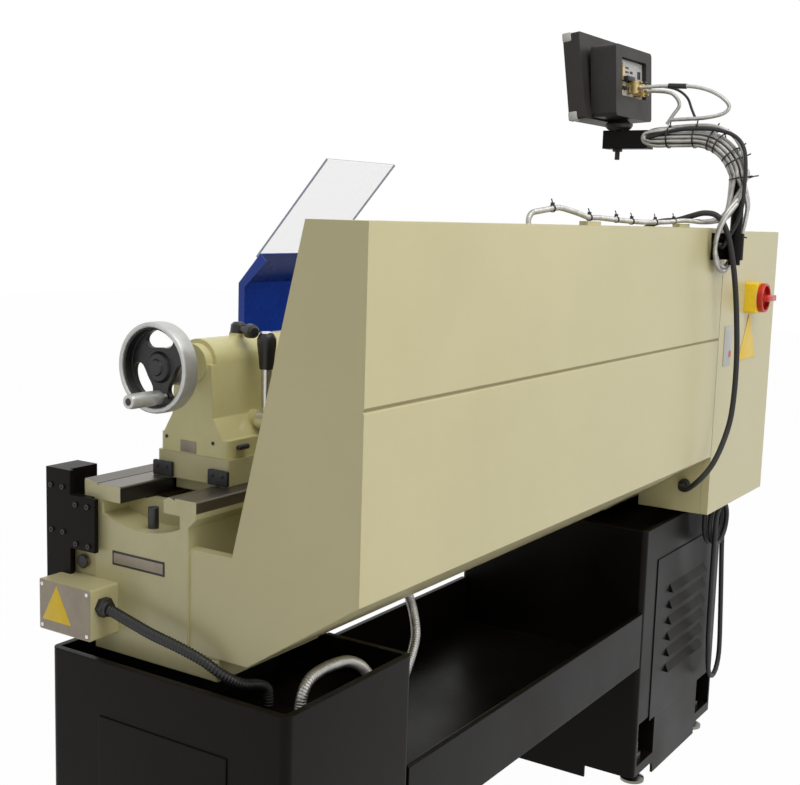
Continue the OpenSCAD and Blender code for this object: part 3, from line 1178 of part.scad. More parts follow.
// A stepped jaw with a keyed foot and a chamfered tip; z is the radius
step_h = 16;
step_r = 25;
jaw_steps = 3;
foot_in = 12;
module jaw(a) color(steel) on_spindle(a) difference() {
    union() {
        span([chuck_x1 - slot_d + slide_gap, -jaw_w / 2, jaw_tip_r + foot_in], [chuck_x1, jaw_w / 2, jaw_tip_r + jaw_steps * step_r + foot_in]);
        span([chuck_x1 - slot_d + slide_gap, -jaw_w / 2 - chamfer, jaw_tip_r + foot_in],
            [chuck_x1 - slot_d + 2 * chamfer, jaw_w / 2 + chamfer, jaw_tip_r + jaw_steps * step_r + foot_in]);
        along_y(-jaw_w / 2, jaw_w / 2) polygon([[chuck_x1 + slide_gap, jaw_tip_r],
            for (k = [0:jaw_steps - 1]) each [[chuck_x1 + (jaw_steps - k) * step_h + slide_gap, jaw_tip_r + k * step_r],
                [chuck_x1 + (jaw_steps - k) * step_h + slide_gap, jaw_tip_r + (k + 1) * step_r]],
            [chuck_x1 + slide_gap, jaw_tip_r + jaw_steps * step_r], [chuck_x1 - over, jaw_tip_r + jaw_steps * step_r],
            [chuck_x1 - over, jaw_tip_r + foot_in], [chuck_x1 + slide_gap, jaw_tip_r + foot_in]]);
    }
    for (s = [1, -1]) along_x(chuck_x1, chuck_x1 + (jaw_steps + 1) * step_h)
        polygon([[s * jaw_w / 4, jaw_tip_r - over], [s * (jaw_w / 2 + over), jaw_tip_r - over], [s * (jaw_w / 2 + over), jaw_tip_r + jaw_w / 4]]);
}
module chuck_jaw_1() jaw(jaw_angles[0]);
module chuck_jaw_2() jaw(jaw_angles[1]);
module chuck_jaw_3() jaw(jaw_angles[2]);

// Change gears between the headstock and the feed gearbox
gear_x1 = head_x0 - 5;
gear_face = 16;
backlash = 0.35;
tooth_spread = [[-1.2, 0.80], [-0.4, 0.66], [0.3, 0.44], [1, 0.22]];
function gear_outline(teeth, turn) = let(r = gear_m * teeth / 2, step = 360 / teeth)
    [for (i = [0:teeth - 1]) each [for (s = [-1, 1]) each [for (k = [0:3]) let(p = tooth_spread[s < 0 ? k : 3 - k],
        rr = r + p[0] * gear_m, w = p[1] * step / 2 - backlash / rr * 180 / PI / 2)
        rr * [cos(turn + i * step + s * w), sin(turn + i * step + s * w)]]]];
module gear(teeth, turn, y, z, out) difference() {
    union() {
        along_x(gear_x1 - gear_face, gear_x1) translate([y, z]) polygon(gear_outline(teeth, turn));
        rod_x(hub_r, gear_x1 - gear_face - out, gear_x1 + out, y, z);
        rod_x(gear_shaft_r, gear_x1 - gear_face, head_x0 + shaft_in - over, y, z);
        translate([gear_x1 - gear_face - 3 * out, y, z]) rotate([0, 90, 0]) cylinder(r = gear_shaft_r, h = 3 * out, $fn = 6);
    }
    for (k = [0:5]) rod_x(gear_m * teeth * 0.09, gear_x1 - gear_face - over, gear_x1 + over,
        y + (hub_r + gear_m * teeth / 2) / 2 * cos(60 * k + 30), z + (hub_r + gear_m * teeth / 2) / 2 * sin(60 * k + 30));
}
module output_gear() color(steel) gear(out_teeth, 270 - gear_lean, out_gear_y, out_gear_z, 2);
module gearbox_gear() color(steel) gear(box_teeth, 90 - gear_lean + 180 / box_teeth, rod_y, gear_z, 2);

// End cover over belts and gears, hinged at the front
cover_t = 2;
cover_y0 = hinge_y + hinge_r + over;
cover_z0 = 150;
cover_r = 20;
bar_hole_r = 60;
cover_handle_l = 110;
module end_cover() color(cream) difference() {
    union() {
        difference() {
            along_x(cover_x0, cover_x1) round_rect([cover_y0, cover_z0], [head_y1, head_z1], cover_r);
            along_x(cover_x0 + cover_t, cover_x1 + over) round_rect([cover_y0 + cover_t, cover_z0 + cover_t],
                [head_y1 - cover_t, head_z1 - cover_t], cover_r - cover_t);
        }
        for (z = hinge_zs) difference() {
            union() {
                rod_z(hinge_r, z - hinge_l, z - door_gap, hinge_x, hinge_y);
                span([hinge_x - 2 * hinge_r, hinge_y, z - hinge_l], [hinge_x - hinge_pin_r, cover_y0 + cover_t, z - door_gap]);
            }
            rod_z(hinge_pin_r + shaft_gap, z - hinge_l - over, z + over, hinge_x, hinge_y);
        }
        // grip on the free side
        difference() {
            span([cover_x0 - cover_r, head_y1 - 3 * cover_r, (cover_z0 + head_z1) / 2],
                [cover_x0 + over, head_y1 - 2 * cover_r, (cover_z0 + head_z1) / 2 + cover_handle_l]);
            span([cover_x0 - cover_r / 2, head_y1 - 3 * cover_r - over, (cover_z0 + head_z1) / 2 + cover_r / 2],
                [cover_x0, head_y1 - 2 * cover_r + over, (cover_z0 + head_z1) / 2 + cover_handle_l - cover_r / 2]);
        }
    }
    rod_x(bar_hole_r, cover_x0 - over, cover_x0 + 2 * cover_t, axis_y, axis_z);
}

// Controls on the headstock and the feed gearbox
lever_xs = [head_x0 + 110, head_x1 - 110];
lever_z = axis_z - 20;
lever_shaft_r = 9;
lever_hub_r = 26;
lever_hub_l = 22;
lever_l = 120;
lever_rod_r = 7;
lever_ball_r = 16;
button_r = 18;
button_x = head_x1 - 45;
button_z = way_h + 35;
button_in = 20;
button_out = 14;
module knobbed_lever(x, a) color(steel) {
    y1 = head_y0 - slide_gap;
    rod_y(lever_shaft_r, y1 - over, head_y0 + shaft_in - over, x, lever_z);
    turned_y(x, y1 - lever_hub_l, lever_z, [[0, 0], [lever_hub_r * 0.7, 0], [lever_hub_r, lever_hub_l / 3], [lever_hub_r, lever_hub_l], [0, lever_hub_l]]);
    translate([x, y1 - lever_hub_l / 2, lever_z]) rotate([0, a, 0]) rotate([15, 0, 0]) {
        cylinder(r = lever_rod_r, h = lever_l);
        translate([0, 0, lever_l]) sphere(r = lever_ball_r);
    }
}
module speed_lever_left() knobbed_lever(lever_xs[0], 180);
module speed_lever_right() knobbed_lever(lever_xs[1], 180);
dial_r = 46;
dial_t = 24;
dial_grips = 8;
module feed_dial() color(black) difference() {
    union() {
        y1 = box_y0 - lid_groove - slide_gap;
        turned_y(dial_x, y1 - dial_t, dial_z, [[0, 0], [dial_r * 0.8, 0], [dial_r, dial_t / 4], [dial_r, dial_t], [0, dial_t]]);
        rod_y(dial_shaft_r, y1 - over, box_y0 + shaft_in - over, dial_x, dial_z);
    }
    for (k = [0:dial_grips - 1]) rod_y(dial_r / 6, box_y0 - lid_groove - dial_t - over - slide_gap, box_y0 - lid_groove - dial_t / 4,
        dial_x + dial_r * 1.06 * cos(360 * k / dial_grips), dial_z + dial_r * 1.06 * sin(360 * k / dial_grips));
}
module stop_button() color([0.75, 0.12, 0.08]) {
    rod_y(button_r, head_y0 - button_out, head_y0 + button_in - 2 * chamfer, button_x, button_z);
    turned_y(button_x, head_y0 - 2 * button_out, button_z, [[0, 0], [button_r, 0], [button_r * 1.35, button_out / 3],
        [button_r * 1.35, button_out], [0, button_out]]);
}

// Rods from the gearbox to the end bracket
thread_pitch = 6;
thread_d = 1.4;
module leadscrew() color(steel) {
    difference() {
        rod_x(screw_r, head_x1 - rod_in + over, bracket_x1 - rod_end_in - over, rod_y, screw_z);
        // relieved ends beside the threaded length
        for (x = [head_x1 + rod_in / 2, bracket_x0 - rod_in / 2]) difference() {
            rod_x(screw_r + over, x - thread_pitch, x + thread_pitch, rod_y, screw_z);
            rod_x(screw_r - thread_d, x - 2 * thread_pitch, x + 2 * thread_pitch, rod_y, screw_z);
        }
    }
}
module feed_rod() color(steel) difference() {
    rod_x(feed_r, head_x1 - rod_in + over, bracket_x1 + rod_end_in / 2, rod_y, feed_z);
    // keyway along the rod
    span([head_x1 + rod_in, rod_y - feed_r / 5, feed_z + feed_r * 0.7], [bracket_x0 - rod_in, rod_y + feed_r / 5, feed_z + feed_r + over]);
}
module control_rod() color(steel) {
    rod_x(control_r, head_x1 - rod_in + over, bracket_x1 - rod_end_in - over, rod_y, control_z);
    rod_x(control_r + chamfer, head_x1 + rod_end_in, head_x1 + 2 * rod_end_in, rod_y, control_z);
}

// Saddle: wings on the ways joined by a bridge, and a front flange for the apron
saddle_z0 = way_h + slide_gap;
saddle_z1 = saddle_z0 + wing_t;
front_wing_y1 = way_y0 + rail_w;
rear_wing_y0 = way_y1 - rear_rail_w + 5;
rear_wing_y1 = way_y1 + 14;
bridge_l = 150;
bridge_y1 = axis_y + 144;
flange_y0 = rod_y - 105;
flange_z0 = way_h - 8;
keep_h = 30;
cross_screw_z = saddle_z1 - wing_t / 2;
cross_shaft_r = 9;
cross_boss_r = 18;
cross_boss_l = 15;
dove = 8;
module saddle() color(cream) difference() {
    union() {
        along_x(saddle_x0, saddle_x1) {
            polygon([[way_y0 - casing_r, flange_z0], [front_wing_y1, flange_z0], [front_wing_y1, saddle_z1 - chamfer],
                [front_wing_y1 - chamfer, saddle_z1], [way_y0 - casing_r + chamfer, saddle_z1], [way_y0 - casing_r, saddle_z1 - chamfer]]);
            polygon([[rear_wing_y0, saddle_z0], [rear_wing_y1, saddle_z0 - keep_h], [rear_wing_y1, saddle_z1 - chamfer],
                [rear_wing_y1 - chamfer, saddle_z1], [rear_wing_y0 + chamfer, saddle_z1], [rear_wing_y0, saddle_z1 - chamfer]]);
        }
        along_z(saddle_z0 + over, saddle_z1) round_rect([saddle_x - bridge_l / 2, flange_y0], [saddle_x + bridge_l / 2, bridge_y1], casing_r);
        along_z(flange_z0, saddle_z1) round_rect([saddle_x - apron_l / 2, flange_y0], [saddle_x + apron_l / 2, way_y0], casing_r / 2);
        for (s = [1, -1], y = [front_wing_y1, rear_wing_y0])
            translate([saddle_x + s * bridge_l / 2, y, 0]) web_fillet(s, y < axis_y ? 1 : -1);
        rod_y(cross_boss_r, flange_y0 - cross_boss_l, flange_y0 + over, saddle_x, cross_screw_z);
        // lugs and pins of the shield's hinges
        for (x = shield_hinge_xs) {
            rod_x(shield_pin_r, x - hinge_l / 2 - shield_lug_t, x + hinge_l / 2 + shield_lug_t, shield_hinge_y, shield_z0);
            for (s = [-1, 1]) translate([x + s * (hinge_l + shield_lug_t + door_gap) / 2, 0, 0])
                span([-shield_lug_t / 2, shield_hinge_y - shield_hinge_r, saddle_z1 - casing_r],
                    [shield_lug_t / 2, flange_y0 + shield_lug_t, shield_z0 + shield_pin_r + over]);
        }
    }
    along_x(saddle_x0 - over, saddle_x1 + over) ways_outline(slide_gap);
    rod_y(cross_shaft_r + shaft_gap, flange_y0 - cross_boss_l - over, flange_y0 + 2 * shaft_in, saddle_x, cross_screw_z);
}
// Rounded corner between bridge and wing
web_r = 40;
module web_fillet(s, t) along_z(saddle_z0 + over, saddle_z1) difference() {
    translate([min(0, s * web_r), min(0, t * web_r)]) square(web_r);
    translate([s * web_r, t * web_r]) circle(web_r);
}
// Way wipers on the saddle's ends
wiper_t = 5;

// Apron under the saddle: gear case bored for the rods
apron_y0 = rod_y - apron_out;
apron_z1 = flange_z0;
apron_z0 = apron_z1 - apron_h;
apron_x0 = saddle_x - apron_l / 2;
apron_x1 = saddle_x + apron_l / 2;
rod_clear = 1;
wheel_x = saddle_x - 105;
wheel_z = apron_z1 - 110;
wheel_shaft_r = 12;
nut_lever_x = saddle_x + 85;
nut_lever_z = apron_z1 - 150;
apron_back = 34;
apron_lap = 20;
module apron() color(cream) difference() {
    union() {
        along_x(apron_x0, apron_x1) round_rect([apron_y0, apron_z0], [way_y0 - 2 * chamfer, apron_z1], casing_r);
        along_x(apron_x0 + casing_r, apron_x1 - casing_r) square_at(way_y0 - casing_r, control_z - 2 * apron_lap, apron_back,
            screw_z - control_z + 3 * apron_lap);
        span([apron_x0 + casing_r, apron_y0 + casing_r, apron_z1 - casing_r], [apron_x1 - casing_r, way_y0 - 2 * chamfer, apron_z1]);
        along_y(apron_y0 - lid_groove, apron_y0 + over) round_rect([apron_x0 + casing_r, apron_z0 + casing_r],
            [apron_x1 - casing_r, apron_z1 - casing_r], casing_r);
        rod_y(wheel_shaft_r * 2.4, apron_y0 - 3 * lid_groove, apron_y0 + over, wheel_x, wheel_z);
    }
    rod_x(screw_r + rod_clear, apron_x0 - over, apron_x1 + over, rod_y, screw_z);
    rod_x(feed_r + rod_clear, apron_x0 - over, apron_x1 + over, rod_y, feed_z);
    rod_x(control_r + rod_clear, apron_x0 - over, apron_x1 + over, rod_y, control_z);
    rod_y(wheel_shaft_r + shaft_gap, apron_y0 - 3 * lid_groove - over, apron_y0 + shaft_in, wheel_x, wheel_z);
    rod_y(lever_shaft_r + shaft_gap, apron_y0 - lid_groove - over, apron_y0 + shaft_in, nut_lever_x, nut_lever_z);
}

// Handwheel with a dished rim, spokes and a hub, and the axis along Y
hand_r = 75;
hand_rim = 9;
hand_grip_r = 9;
hand_grip_l = 70;
module hand_wheel(x, y, z, r, shaft_r, shaft_l, spokes) {
    rim = r * 0.12;
    difference() {
        translate([x, y - 3 * rim, z]) rotate([-90, 0, 0]) rotate_extrude() translate([r - rim, 0]) circle(rim);
        rod_y(1.5 * hand_grip_r / 2, y - 6 * rim, y - rim, x, z + r - rim);
    }
    turned_y(x, y - 3 * rim, z, [[0, 0], [2 * rim, 0], [2.4 * rim, rim], [2.4 * rim, 3 * rim], [0, 3 * rim]]);
    for (k = [0:spokes - 1]) translate([x, y - 2.4 * rim, z]) rotate([0, 360 * k / spokes, 0])
        span([rim, -rim / 2, -rim * 0.7], [r - rim, rim / 2, rim * 0.7]);
    rod_y(shaft_r, y - over, y + shaft_l, x, z);
    rod_y(hand_grip_r / 2, y - 3 * rim - over, y - 2 * rim, x, z + r - rim);
    turned_y(x, y - 3 * rim - hand_grip_l, z + r - rim, [[0, 0], [hand_grip_r, 0], [hand_grip_r * 1.3, hand_grip_l / 3],
        [hand_grip_r * 0.8, hand_grip_l], [0, hand_grip_l]]);
}
module carriage_handwheel() color(steel)
    hand_wheel(wheel_x, apron_y0 - 3 * lid_groove - slide_gap, wheel_z, hand_r, wheel_shaft_r, shaft_in, 3);
cross_hand_r = 48;
dial_drum_r = 30;
dial_drum_l = 26;
module cross_handle() color(steel) {
    y1 = flange_y0 - cross_boss_l - slide_gap;
    turned_y(saddle_x, y1 - dial_drum_l, cross_screw_z, [[0, 0], [dial_drum_r * 0.8, 0], [dial_drum_r, chamfer], [dial_drum_r, dial_drum_l], [0, dial_drum_l]]);
    hand_wheel(saddle_x, y1 - dial_drum_l - shield_room, cross_screw_z, cross_hand_r, cross_shaft_r, shield_room + dial_drum_l + 2 * shaft_in - over, 2);
}
shield_room = 9;

// Control lever hub on the rod at the apron's tail side
control_lever_x = apron_x1 + 4;
control_hub_l = 34;
control_hub_r = 22;
module control_lever() color(black) {
    difference() {
        rod_x(control_hub_r, control_lever_x, control_lever_x + control_hub_l, rod_y, control_z);
        rod_x(control_r + 2 * slide_gap, control_lever_x - over, control_lever_x + control_hub_l + over, rod_y, control_z);
    }
    translate([control_lever_x + control_hub_l / 2, rod_y, control_z]) rotate([100, 0, 0]) {
        translate([0, 0, control_hub_r - 2 * over]) cylinder(r = lever_rod_r, h = lever_l);
        translate([0, 0, control_hub_r + lever_l]) sphere(r = lever_ball_r);
    }
}
module half_nut_lever() color(steel) {
    y1 = apron_y0 - lid_groove - slide_gap;
    rod_y(lever_shaft_r, y1 - over, apron_y0 + shaft_in - over, nut_lever_x, nut_lever_z);
    turned_y(nut_lever_x, y1 - lever_hub_l, nut_lever_z, [[0, 0], [lever_hub_r * 0.6, 0], [lever_hub_r * 0.8, lever_hub_l / 3],
        [lever_hub_r * 0.8, lever_hub_l], [0, lever_hub_l]]);
    translate([nut_lever_x, y1 - lever_hub_l / 2, nut_lever_z]) rotate([0, 0, 0]) rotate([20, 0, 0]) {
        cylinder(r = lever_rod_r, h = lever_l * 0.75);
        translate([0, 0, lever_l * 0.75]) sphere(r = lever_ball_r);
    }
}

// Cross slide, swivelling compound, top slide and four-way tool post
cross_z0 = saddle_z1 + slide_gap;
cross_z1 = cross_z0 + cross_t;
cross_y1 = bridge_y1;
compound_y = axis_y - 86;
compound_z0 = cross_z1 + slide_gap;
compound_z1 = compound_z0 + compound_t;
top_z0 = compound_z1 + slide_gap;
top_z1 = top_z0 + top_t;
post_x = saddle_x - 50;
post_z0 = top_z1 + slide_gap;
post_z1 = post_z0 + post_h;
swivel_r = 16;
swivel_d = 14;
slide_bolt_r = 8;
module cross_slide() color(steel) difference() {
    union() {
        along_y(cross_y1 - cross_l, cross_y1) polygon([[saddle_x - cross_w / 2, cross_z0], [saddle_x + cross_w / 2, cross_z0],
            [saddle_x + cross_w / 2, cross_z1 - chamfer], [saddle_x + cross_w / 2 - chamfer, cross_z1],
            [saddle_x - cross_w / 2 + chamfer, cross_z1], [saddle_x - cross_w / 2, cross_z1 - chamfer]]);
        rod_z(swivel_r, cross_z1 - over, cross_z1 + swivel_d, saddle_x, compound_y);
    }
    // tee slots behind the compound
    for (x = [-cross_w / 4, cross_w / 4]) {
        span([saddle_x + x - slide_bolt_r / 2, compound_y + compound_r + casing_r, cross_z1 - cross_t / 2], [saddle_x + x + slide_bolt_r / 2, cross_y1 + over, cross_z1 + over]);
        span([saddle_x + x - slide_bolt_r, compound_y + compound_r + casing_r, cross_z1 - cross_t / 2],
            [saddle_x + x + slide_bolt_r, cross_y1 + over, cross_z1 - cross_t / 4]);
    }
}
module compound_base() color(steel) difference() {
    union() {
        rod_z(compound_r, compound_z0, compound_z0 + compound_t / 2, saddle_x, compound_y);
        span([saddle_x - compound_r, compound_y - top_w / 2, compound_z0 + compound_t / 2 - over],
            [saddle_x + compound_r, compound_y + top_w / 2, compound_z1]);
    }
    rod_z(swivel_r + shaft_gap, compound_z0 - over, compound_z0 + swivel_d + over, saddle_x, compound_y);
}
top_x0 = saddle_x - top_l / 2;
top_x1 = saddle_x + top_l / 2;
top_shaft_r = 8;
top_screw_z = (top_z0 + top_z1) / 2;
module top_slide() color(steel) difference() {
    union() {
        along_x(top_x0, top_x1) polygon([[compound_y - top_w / 2, top_z0], [compound_y + top_w / 2, top_z0],
            [compound_y + top_w / 2, top_z1 - chamfer], [compound_y + top_w / 2 - chamfer, top_z1],
            [compound_y - top_w / 2 + chamfer, top_z1], [compound_y - top_w / 2, top_z1 - chamfer]]);
        rod_z(swivel_r, top_z1 - over, post_z1 - post_h / 4, post_x, compound_y);
    }
    rod_x(top_shaft_r + shaft_gap, top_x1 - shaft_in, top_x1 + over, compound_y, top_screw_z);
}
crank_lean = 20;
module top_handle() color(steel) {
    x0 = top_x1 + slide_gap;
    rod_x(top_shaft_r, top_x1 - shaft_in + over, x0 + over, compound_y, top_screw_z);
    turned_x(x0, compound_y, top_screw_z, [[0, 0], [dial_drum_r * 0.6, 0], [dial_drum_r * 0.6, dial_drum_l - chamfer], [dial_drum_r * 0.5, dial_drum_l], [0, dial_drum_l]]);
    translate([x0 + dial_drum_l, compound_y, top_screw_z]) rotate([0, crank_lean, 0]) for (s = [0, 180]) rotate([s, 0, 0]) {
        cylinder(r = lever_rod_r * 0.7, h = dial_drum_r * 1.1);
        translate([0, 0, dial_drum_r * 1.1]) sphere(r = hand_grip_r);
    }
}
tool_slot_d = 20;
tool_slot_h = 25;
post_bolt_r = 5;
post_base_t = 35;
post_handle_l = 100;
module tool_post() color(steel) difference() {
    union() {
        along_z(post_z0, post_z1) round_rect([post_x - post_w / 2, compound_y - post_w / 2], [post_x + post_w / 2, compound_y + post_w / 2], chamfer);
        turned_z(post_x, compound_y, post_z1 - over, [[0, 0], [swivel_r * 1.5, 0], [swivel_r * 1.5, casing_r], [swivel_r, 2 * casing_r], [0, 2 * casing_r]]);
        translate([post_x, compound_y, post_z1 + casing_r]) rotate([0, 72, 0]) {
            cylinder(r = lever_rod_r * 0.9, h = post_handle_l);
            translate([0, 0, post_handle_l]) sphere(r = lever_ball_r * 0.8);
        }
        for (k = [0:3], t = [-1, 0, 1]) translate([post_x, compound_y, 0]) rotate([0, 0, 90 * k])
            translate([post_w / 2 - tool_slot_d / 2, t * post_w * 0.26, post_z1 - over]) cylinder(r = post_bolt_r, h = casing_r);
    }
    for (k = [0:3]) translate([post_x, compound_y, 0]) rotate([0, 0, 90 * k])
        span([post_w / 2 - tool_slot_d, -post_w, post_z0 + post_base_t], [post_w, post_w, post_z0 + post_base_t + tool_slot_h]);
    rod_z(swivel_r + shaft_gap, post_z0 - over, post_z1 - post_h / 4 + over, post_x, compound_y);
}

// Blue shield on the apron's top edge, and its clear window
shield_z0 = saddle_z1 + 12;
shield_hinge_y = flange_y0 - 8;
shield_t = 2;
shield_up = 265;
shield_slant = [56, 62];
shield_return = 16;
shield_hinge_r = 5;
shield_pin_r = 2.5;
shield_notch_w = 96;
shield_notch_h = 88;
shield_ear = 22;
window_t = 4;
window_lap = 24;
window_run = [171, 194];
shield_low = 2 * shield_hinge_r;
shield_lug_t = 8;
shield_hinge_xs = [saddle_x - apron_l / 3, saddle_x + apron_l / 3];
module shield_line(t) polygon([[0, shield_low], [0, shield_up], [shield_slant.x, shield_up + shield_slant.y],
    [shield_slant.x + t / 2, shield_up + shield_slant.y - t], [t, shield_up - t / 3], [t, shield_low]]);
module carriage_shield() color([0.10, 0.30, 0.60]) {
    x0 = saddle_x - shield_w / 2;
    x1 = saddle_x + shield_w / 2;
    translate([0, shield_hinge_y - shield_hinge_r, shield_z0]) difference() {
        union() {
            along_x(x0, x1) shield_line(shield_t);
            // returned ends
            for (x = [x0, x1 - shield_t]) along_x(x, x + shield_t) polygon([[0, shield_low], [0, shield_up],
                [shield_slant.x, shield_up + shield_slant.y],
                [shield_slant.x + shield_return, shield_up + shield_slant.y - shield_return],
                [shield_return, shield_up - shield_return / 2], [shield_return, shield_low]]);
        }
        span([saddle_x - shield_notch_w / 2, -over, 0], [saddle_x + shield_notch_w / 2, shield_t + over, shield_notch_h]);
    }
    for (x = shield_hinge_xs) difference() {
        union() {
            rod_x(shield_hinge_r, x - hinge_l / 2, x + hinge_l / 2, shield_hinge_y, shield_z0);
            span([x - hinge_l / 2, shield_hinge_y - shield_hinge_r, shield_z0],
                [x + hinge_l / 2, shield_hinge_y - shield_hinge_r + shield_t, shield_z0 + shield_low + shield_return]);
        }
        rod_x(shield_pin_r + shaft_gap, x - hinge_l, x + hinge_l, shield_hinge_y, shield_z0);
    }
}
module shield_window() color([0.75, 0.80, 0.85, 0.4]) {
    y0 = shield_hinge_y - shield_hinge_r + shield_slant.x;
    z0 = shield_z0 + shield_up + shield_slant.y;
    u = [window_run.x, window_run.y] / norm([window_run.x, window_run.y]);
    a = [y0, z0] + slide_gap * [-u.y, u.x] - u * window_lap / 2;
    along_x(saddle_x - shield_w / 2, saddle_x + shield_w / 2) polygon([a, a + u * norm(window_run),
        a + u * norm(window_run) + window_t * [-u.y, u.x], a + window_t * [-u.y, u.x]]);
}

// Tailstock base on the ways, with wipers, and the casting above it
tail_x = (tail_x0 + tail_x1) / 2;
tail_y0 = axis_y - tail_w / 2;
tail_y1 = axis_y + tail_w / 2;
tail_z0 = way_h + slide_gap;
base_z1 = tail_z0 + base_h;
key_y0 = way_y0 + rail_w + slide_gap + 4;
key_y1 = way_y1 - rear_rail_w - slide_gap - 4;
key_drop = 20;
wiper_w = 40;
wiper_h = 26;
clamp_bolt_r = 10;
clamp_shoe_t = 24;
shoe_lap = 26;
module tailstock_base() {
    color(cream) {
        along_z(tail_z0, base_z1) round_rect([tail_x0, tail_y0], [tail_x1, tail_y1], casing_r / 2);
        span([tail_x0 + casing_r, key_y0, tail_z0 - key_drop], [tail_x1 - casing_r, key_y1, tail_z0 + over]);
    }
    color([0.55, 0.10, 0.08]) {
        rod_z(clamp_bolt_r, way_h - rail_t - clamp_shoe_t + over, tail_z0 - key_drop + over, tail_x, (key_y0 + key_y1) / 2);
        span([tail_x - clamp_shoe_t, key_y0 - shoe_lap, way_h - rail_t - clamp_shoe_t - 2 * slide_gap],
            [tail_x + clamp_shoe_t, key_y1 + shoe_lap, way_h - rail_t - 2 * slide_gap]);
    }
    color(black) for (x = [tail_x0 - wiper_t, tail_x1], y = [tail_y0 - chamfer, tail_y1 - wiper_w + over])
        span([x - (x < tail_x ? 0 : over), y, tail_z0], [x + wiper_t + (x < tail_x ? over : 0), y + wiper_w, tail_z0 + wiper_h]);
}
body_z0 = base_z1;
waist_h = 70;
waist_x_in = 20;
quill_lock_x = tail_x + 5;
lock_r = 8;
clamp_x = tail_x + 18;
clamp_y = axis_y + 74;
clamp_z = axis_z - 100;
collar_r = 33;
module tailstock_body() color(cream) difference() {
    union() {
        along_z(body_z0, body_z0 + body_base_h) round_rect([tail_x0 + chamfer, tail_y0 + chamfer], [tail_x1, tail_y1 - chamfer], casing_r);
        // waisted column up to the barrel
        along_x(tail_x0 + waist_x_in, tail_x1) polygon([[tail_y0 + casing_r, body_z0 + body_base_h - over],
            [axis_y - neck_w / 2, body_z0 + body_base_h + waist_h / 2], [axis_y - barrel_r, axis_z], [axis_y + barrel_r, axis_z],
            [axis_y + neck_w / 2, body_z0 + body_base_h + waist_h / 2], [tail_y1 - casing_r, body_z0 + body_base_h - over]]);
        rod_x(barrel_r, tail_x0, tail_x1 - casing_r, axis_y, axis_z);
        rod_x(collar_r, tail_x1 - 2 * casing_r, tail_x1 + chamfer, axis_y, axis_z);
        rod_z(2 * lock_r, axis_z, axis_z + barrel_r + chamfer, quill_lock_x, axis_y);
        // boss for the clamp lever's shaft
        rod_y(2 * lock_r, axis_y, clamp_y - lever_hub_l / 2, clamp_x, clamp_z);
    }
    rod_x(quill_r + shaft_gap, tail_x0 - over, tail_x1 - casing_r, axis_y, axis_z);
    rod_x(tail_screw_r + shaft_gap, tail_x1 - casing_r - over, tail_x1 + 2 * chamfer, axis_y, axis_z);
    rod_z(lock_r + shaft_gap, axis_z + quill_r + 2 * over, axis_z + barrel_r + 2 * chamfer, quill_lock_x, axis_y);
    rod_y(lock_r + shaft_gap, axis_y + neck_w / 4, clamp_y, clamp_x, clamp_z);
}
tail_screw_r = 11;
quill_tip = 58;
centre_r = 14;
quill_inside = 60;
module quill() color(steel) difference() {
    turned_x(tail_x0, axis_y, axis_z, [[0, -quill_tip], [centre_r, -quill_tip + centre_r * 1.73], [centre_r, -casing_r],
        [quill_r - over, -casing_r], [quill_r, -casing_r + over], [quill_r, tail_l - quill_inside - casing_r],
        [tail_screw_r + over, tail_l - quill_inside - casing_r], [tail_screw_r + over, casing_r], [0, casing_r]]);
    span([tail_x0 + over, axis_y - chamfer / 2, axis_z - quill_r - over], [tail_x1, axis_y + chamfer / 2, axis_z - quill_r + chamfer / 2]);
}

// Tailstock handwheel: dished wheel, graduated collar and screw; the grip is a piece of its own
tail_collar_r = 31;
tail_collar_l = 22;
wheel_x0 = tail_x1 + 68;
wheel_rim_r = 11;
grip_y = axis_y + 14;
grip_r = 11.5;
grip_drop = 46;
grip_pin_r = 5;
grip_out = 70;
spoke_n = 3;
spoke_turn = 73;
module tail_handwheel() {
    color(steel) {
        rod_x(tail_screw_r, tail_x0 + 5 * casing_r, tail_x1 + 2 * chamfer, axis_y, axis_z);
        turned_x(tail_x1 + chamfer + slide_gap, axis_y, axis_z, [[0, 0], [tail_collar_r, 0], [tail_collar_r, tail_collar_l - chamfer],
            [tail_collar_r - chamfer, tail_collar_l], [0, tail_collar_l]]);
        rod_x(2 * tail_screw_r, tail_x1 + tail_collar_l, wheel_x0 + wheel_rim_r, axis_y, axis_z);
        difference() {
            union() {
                translate([wheel_x0 + wheel_rim_r, axis_y, axis_z]) rotate([0, 90, 0]) rotate_extrude()
                    translate([wheel_r - wheel_rim_r, 0]) circle(wheel_rim_r);
                for (k = [0:spoke_n - 1]) translate([0, axis_y, axis_z]) rotate([360 * k / spoke_n - spoke_turn, 0, 0])
                    span([wheel_x0 - wheel_rim_r / 2, tail_screw_r, -wheel_rim_r * 0.8],
                        [wheel_x0 + wheel_rim_r, wheel_r - wheel_rim_r, wheel_rim_r * 0.8]);
            }
            rod_x(grip_pin_r + shaft_gap, wheel_x0 - wheel_rim_r, wheel_x0 + 3 * wheel_rim_r, grip_y, axis_z - grip_drop);
        }
    }
}
module wheel_grip() color(steel) {
    z = axis_z - grip_drop;
    x0 = wheel_x0 + 2 * wheel_rim_r + slide_gap;
    turned_x(x0, grip_y, z, [[0, 0], [grip_r * 0.7, 0], [grip_r * 0.62, grip_out * 0.1], [grip_r, grip_out * 0.55], [grip_r * 0.94, grip_out * 0.85],
        [grip_r * 0.6, grip_out], [0, grip_out]]);
    rod_x(grip_pin_r, wheel_x0 + wheel_rim_r, x0 + over, grip_y, z);
}
lock_lever_l = 34;
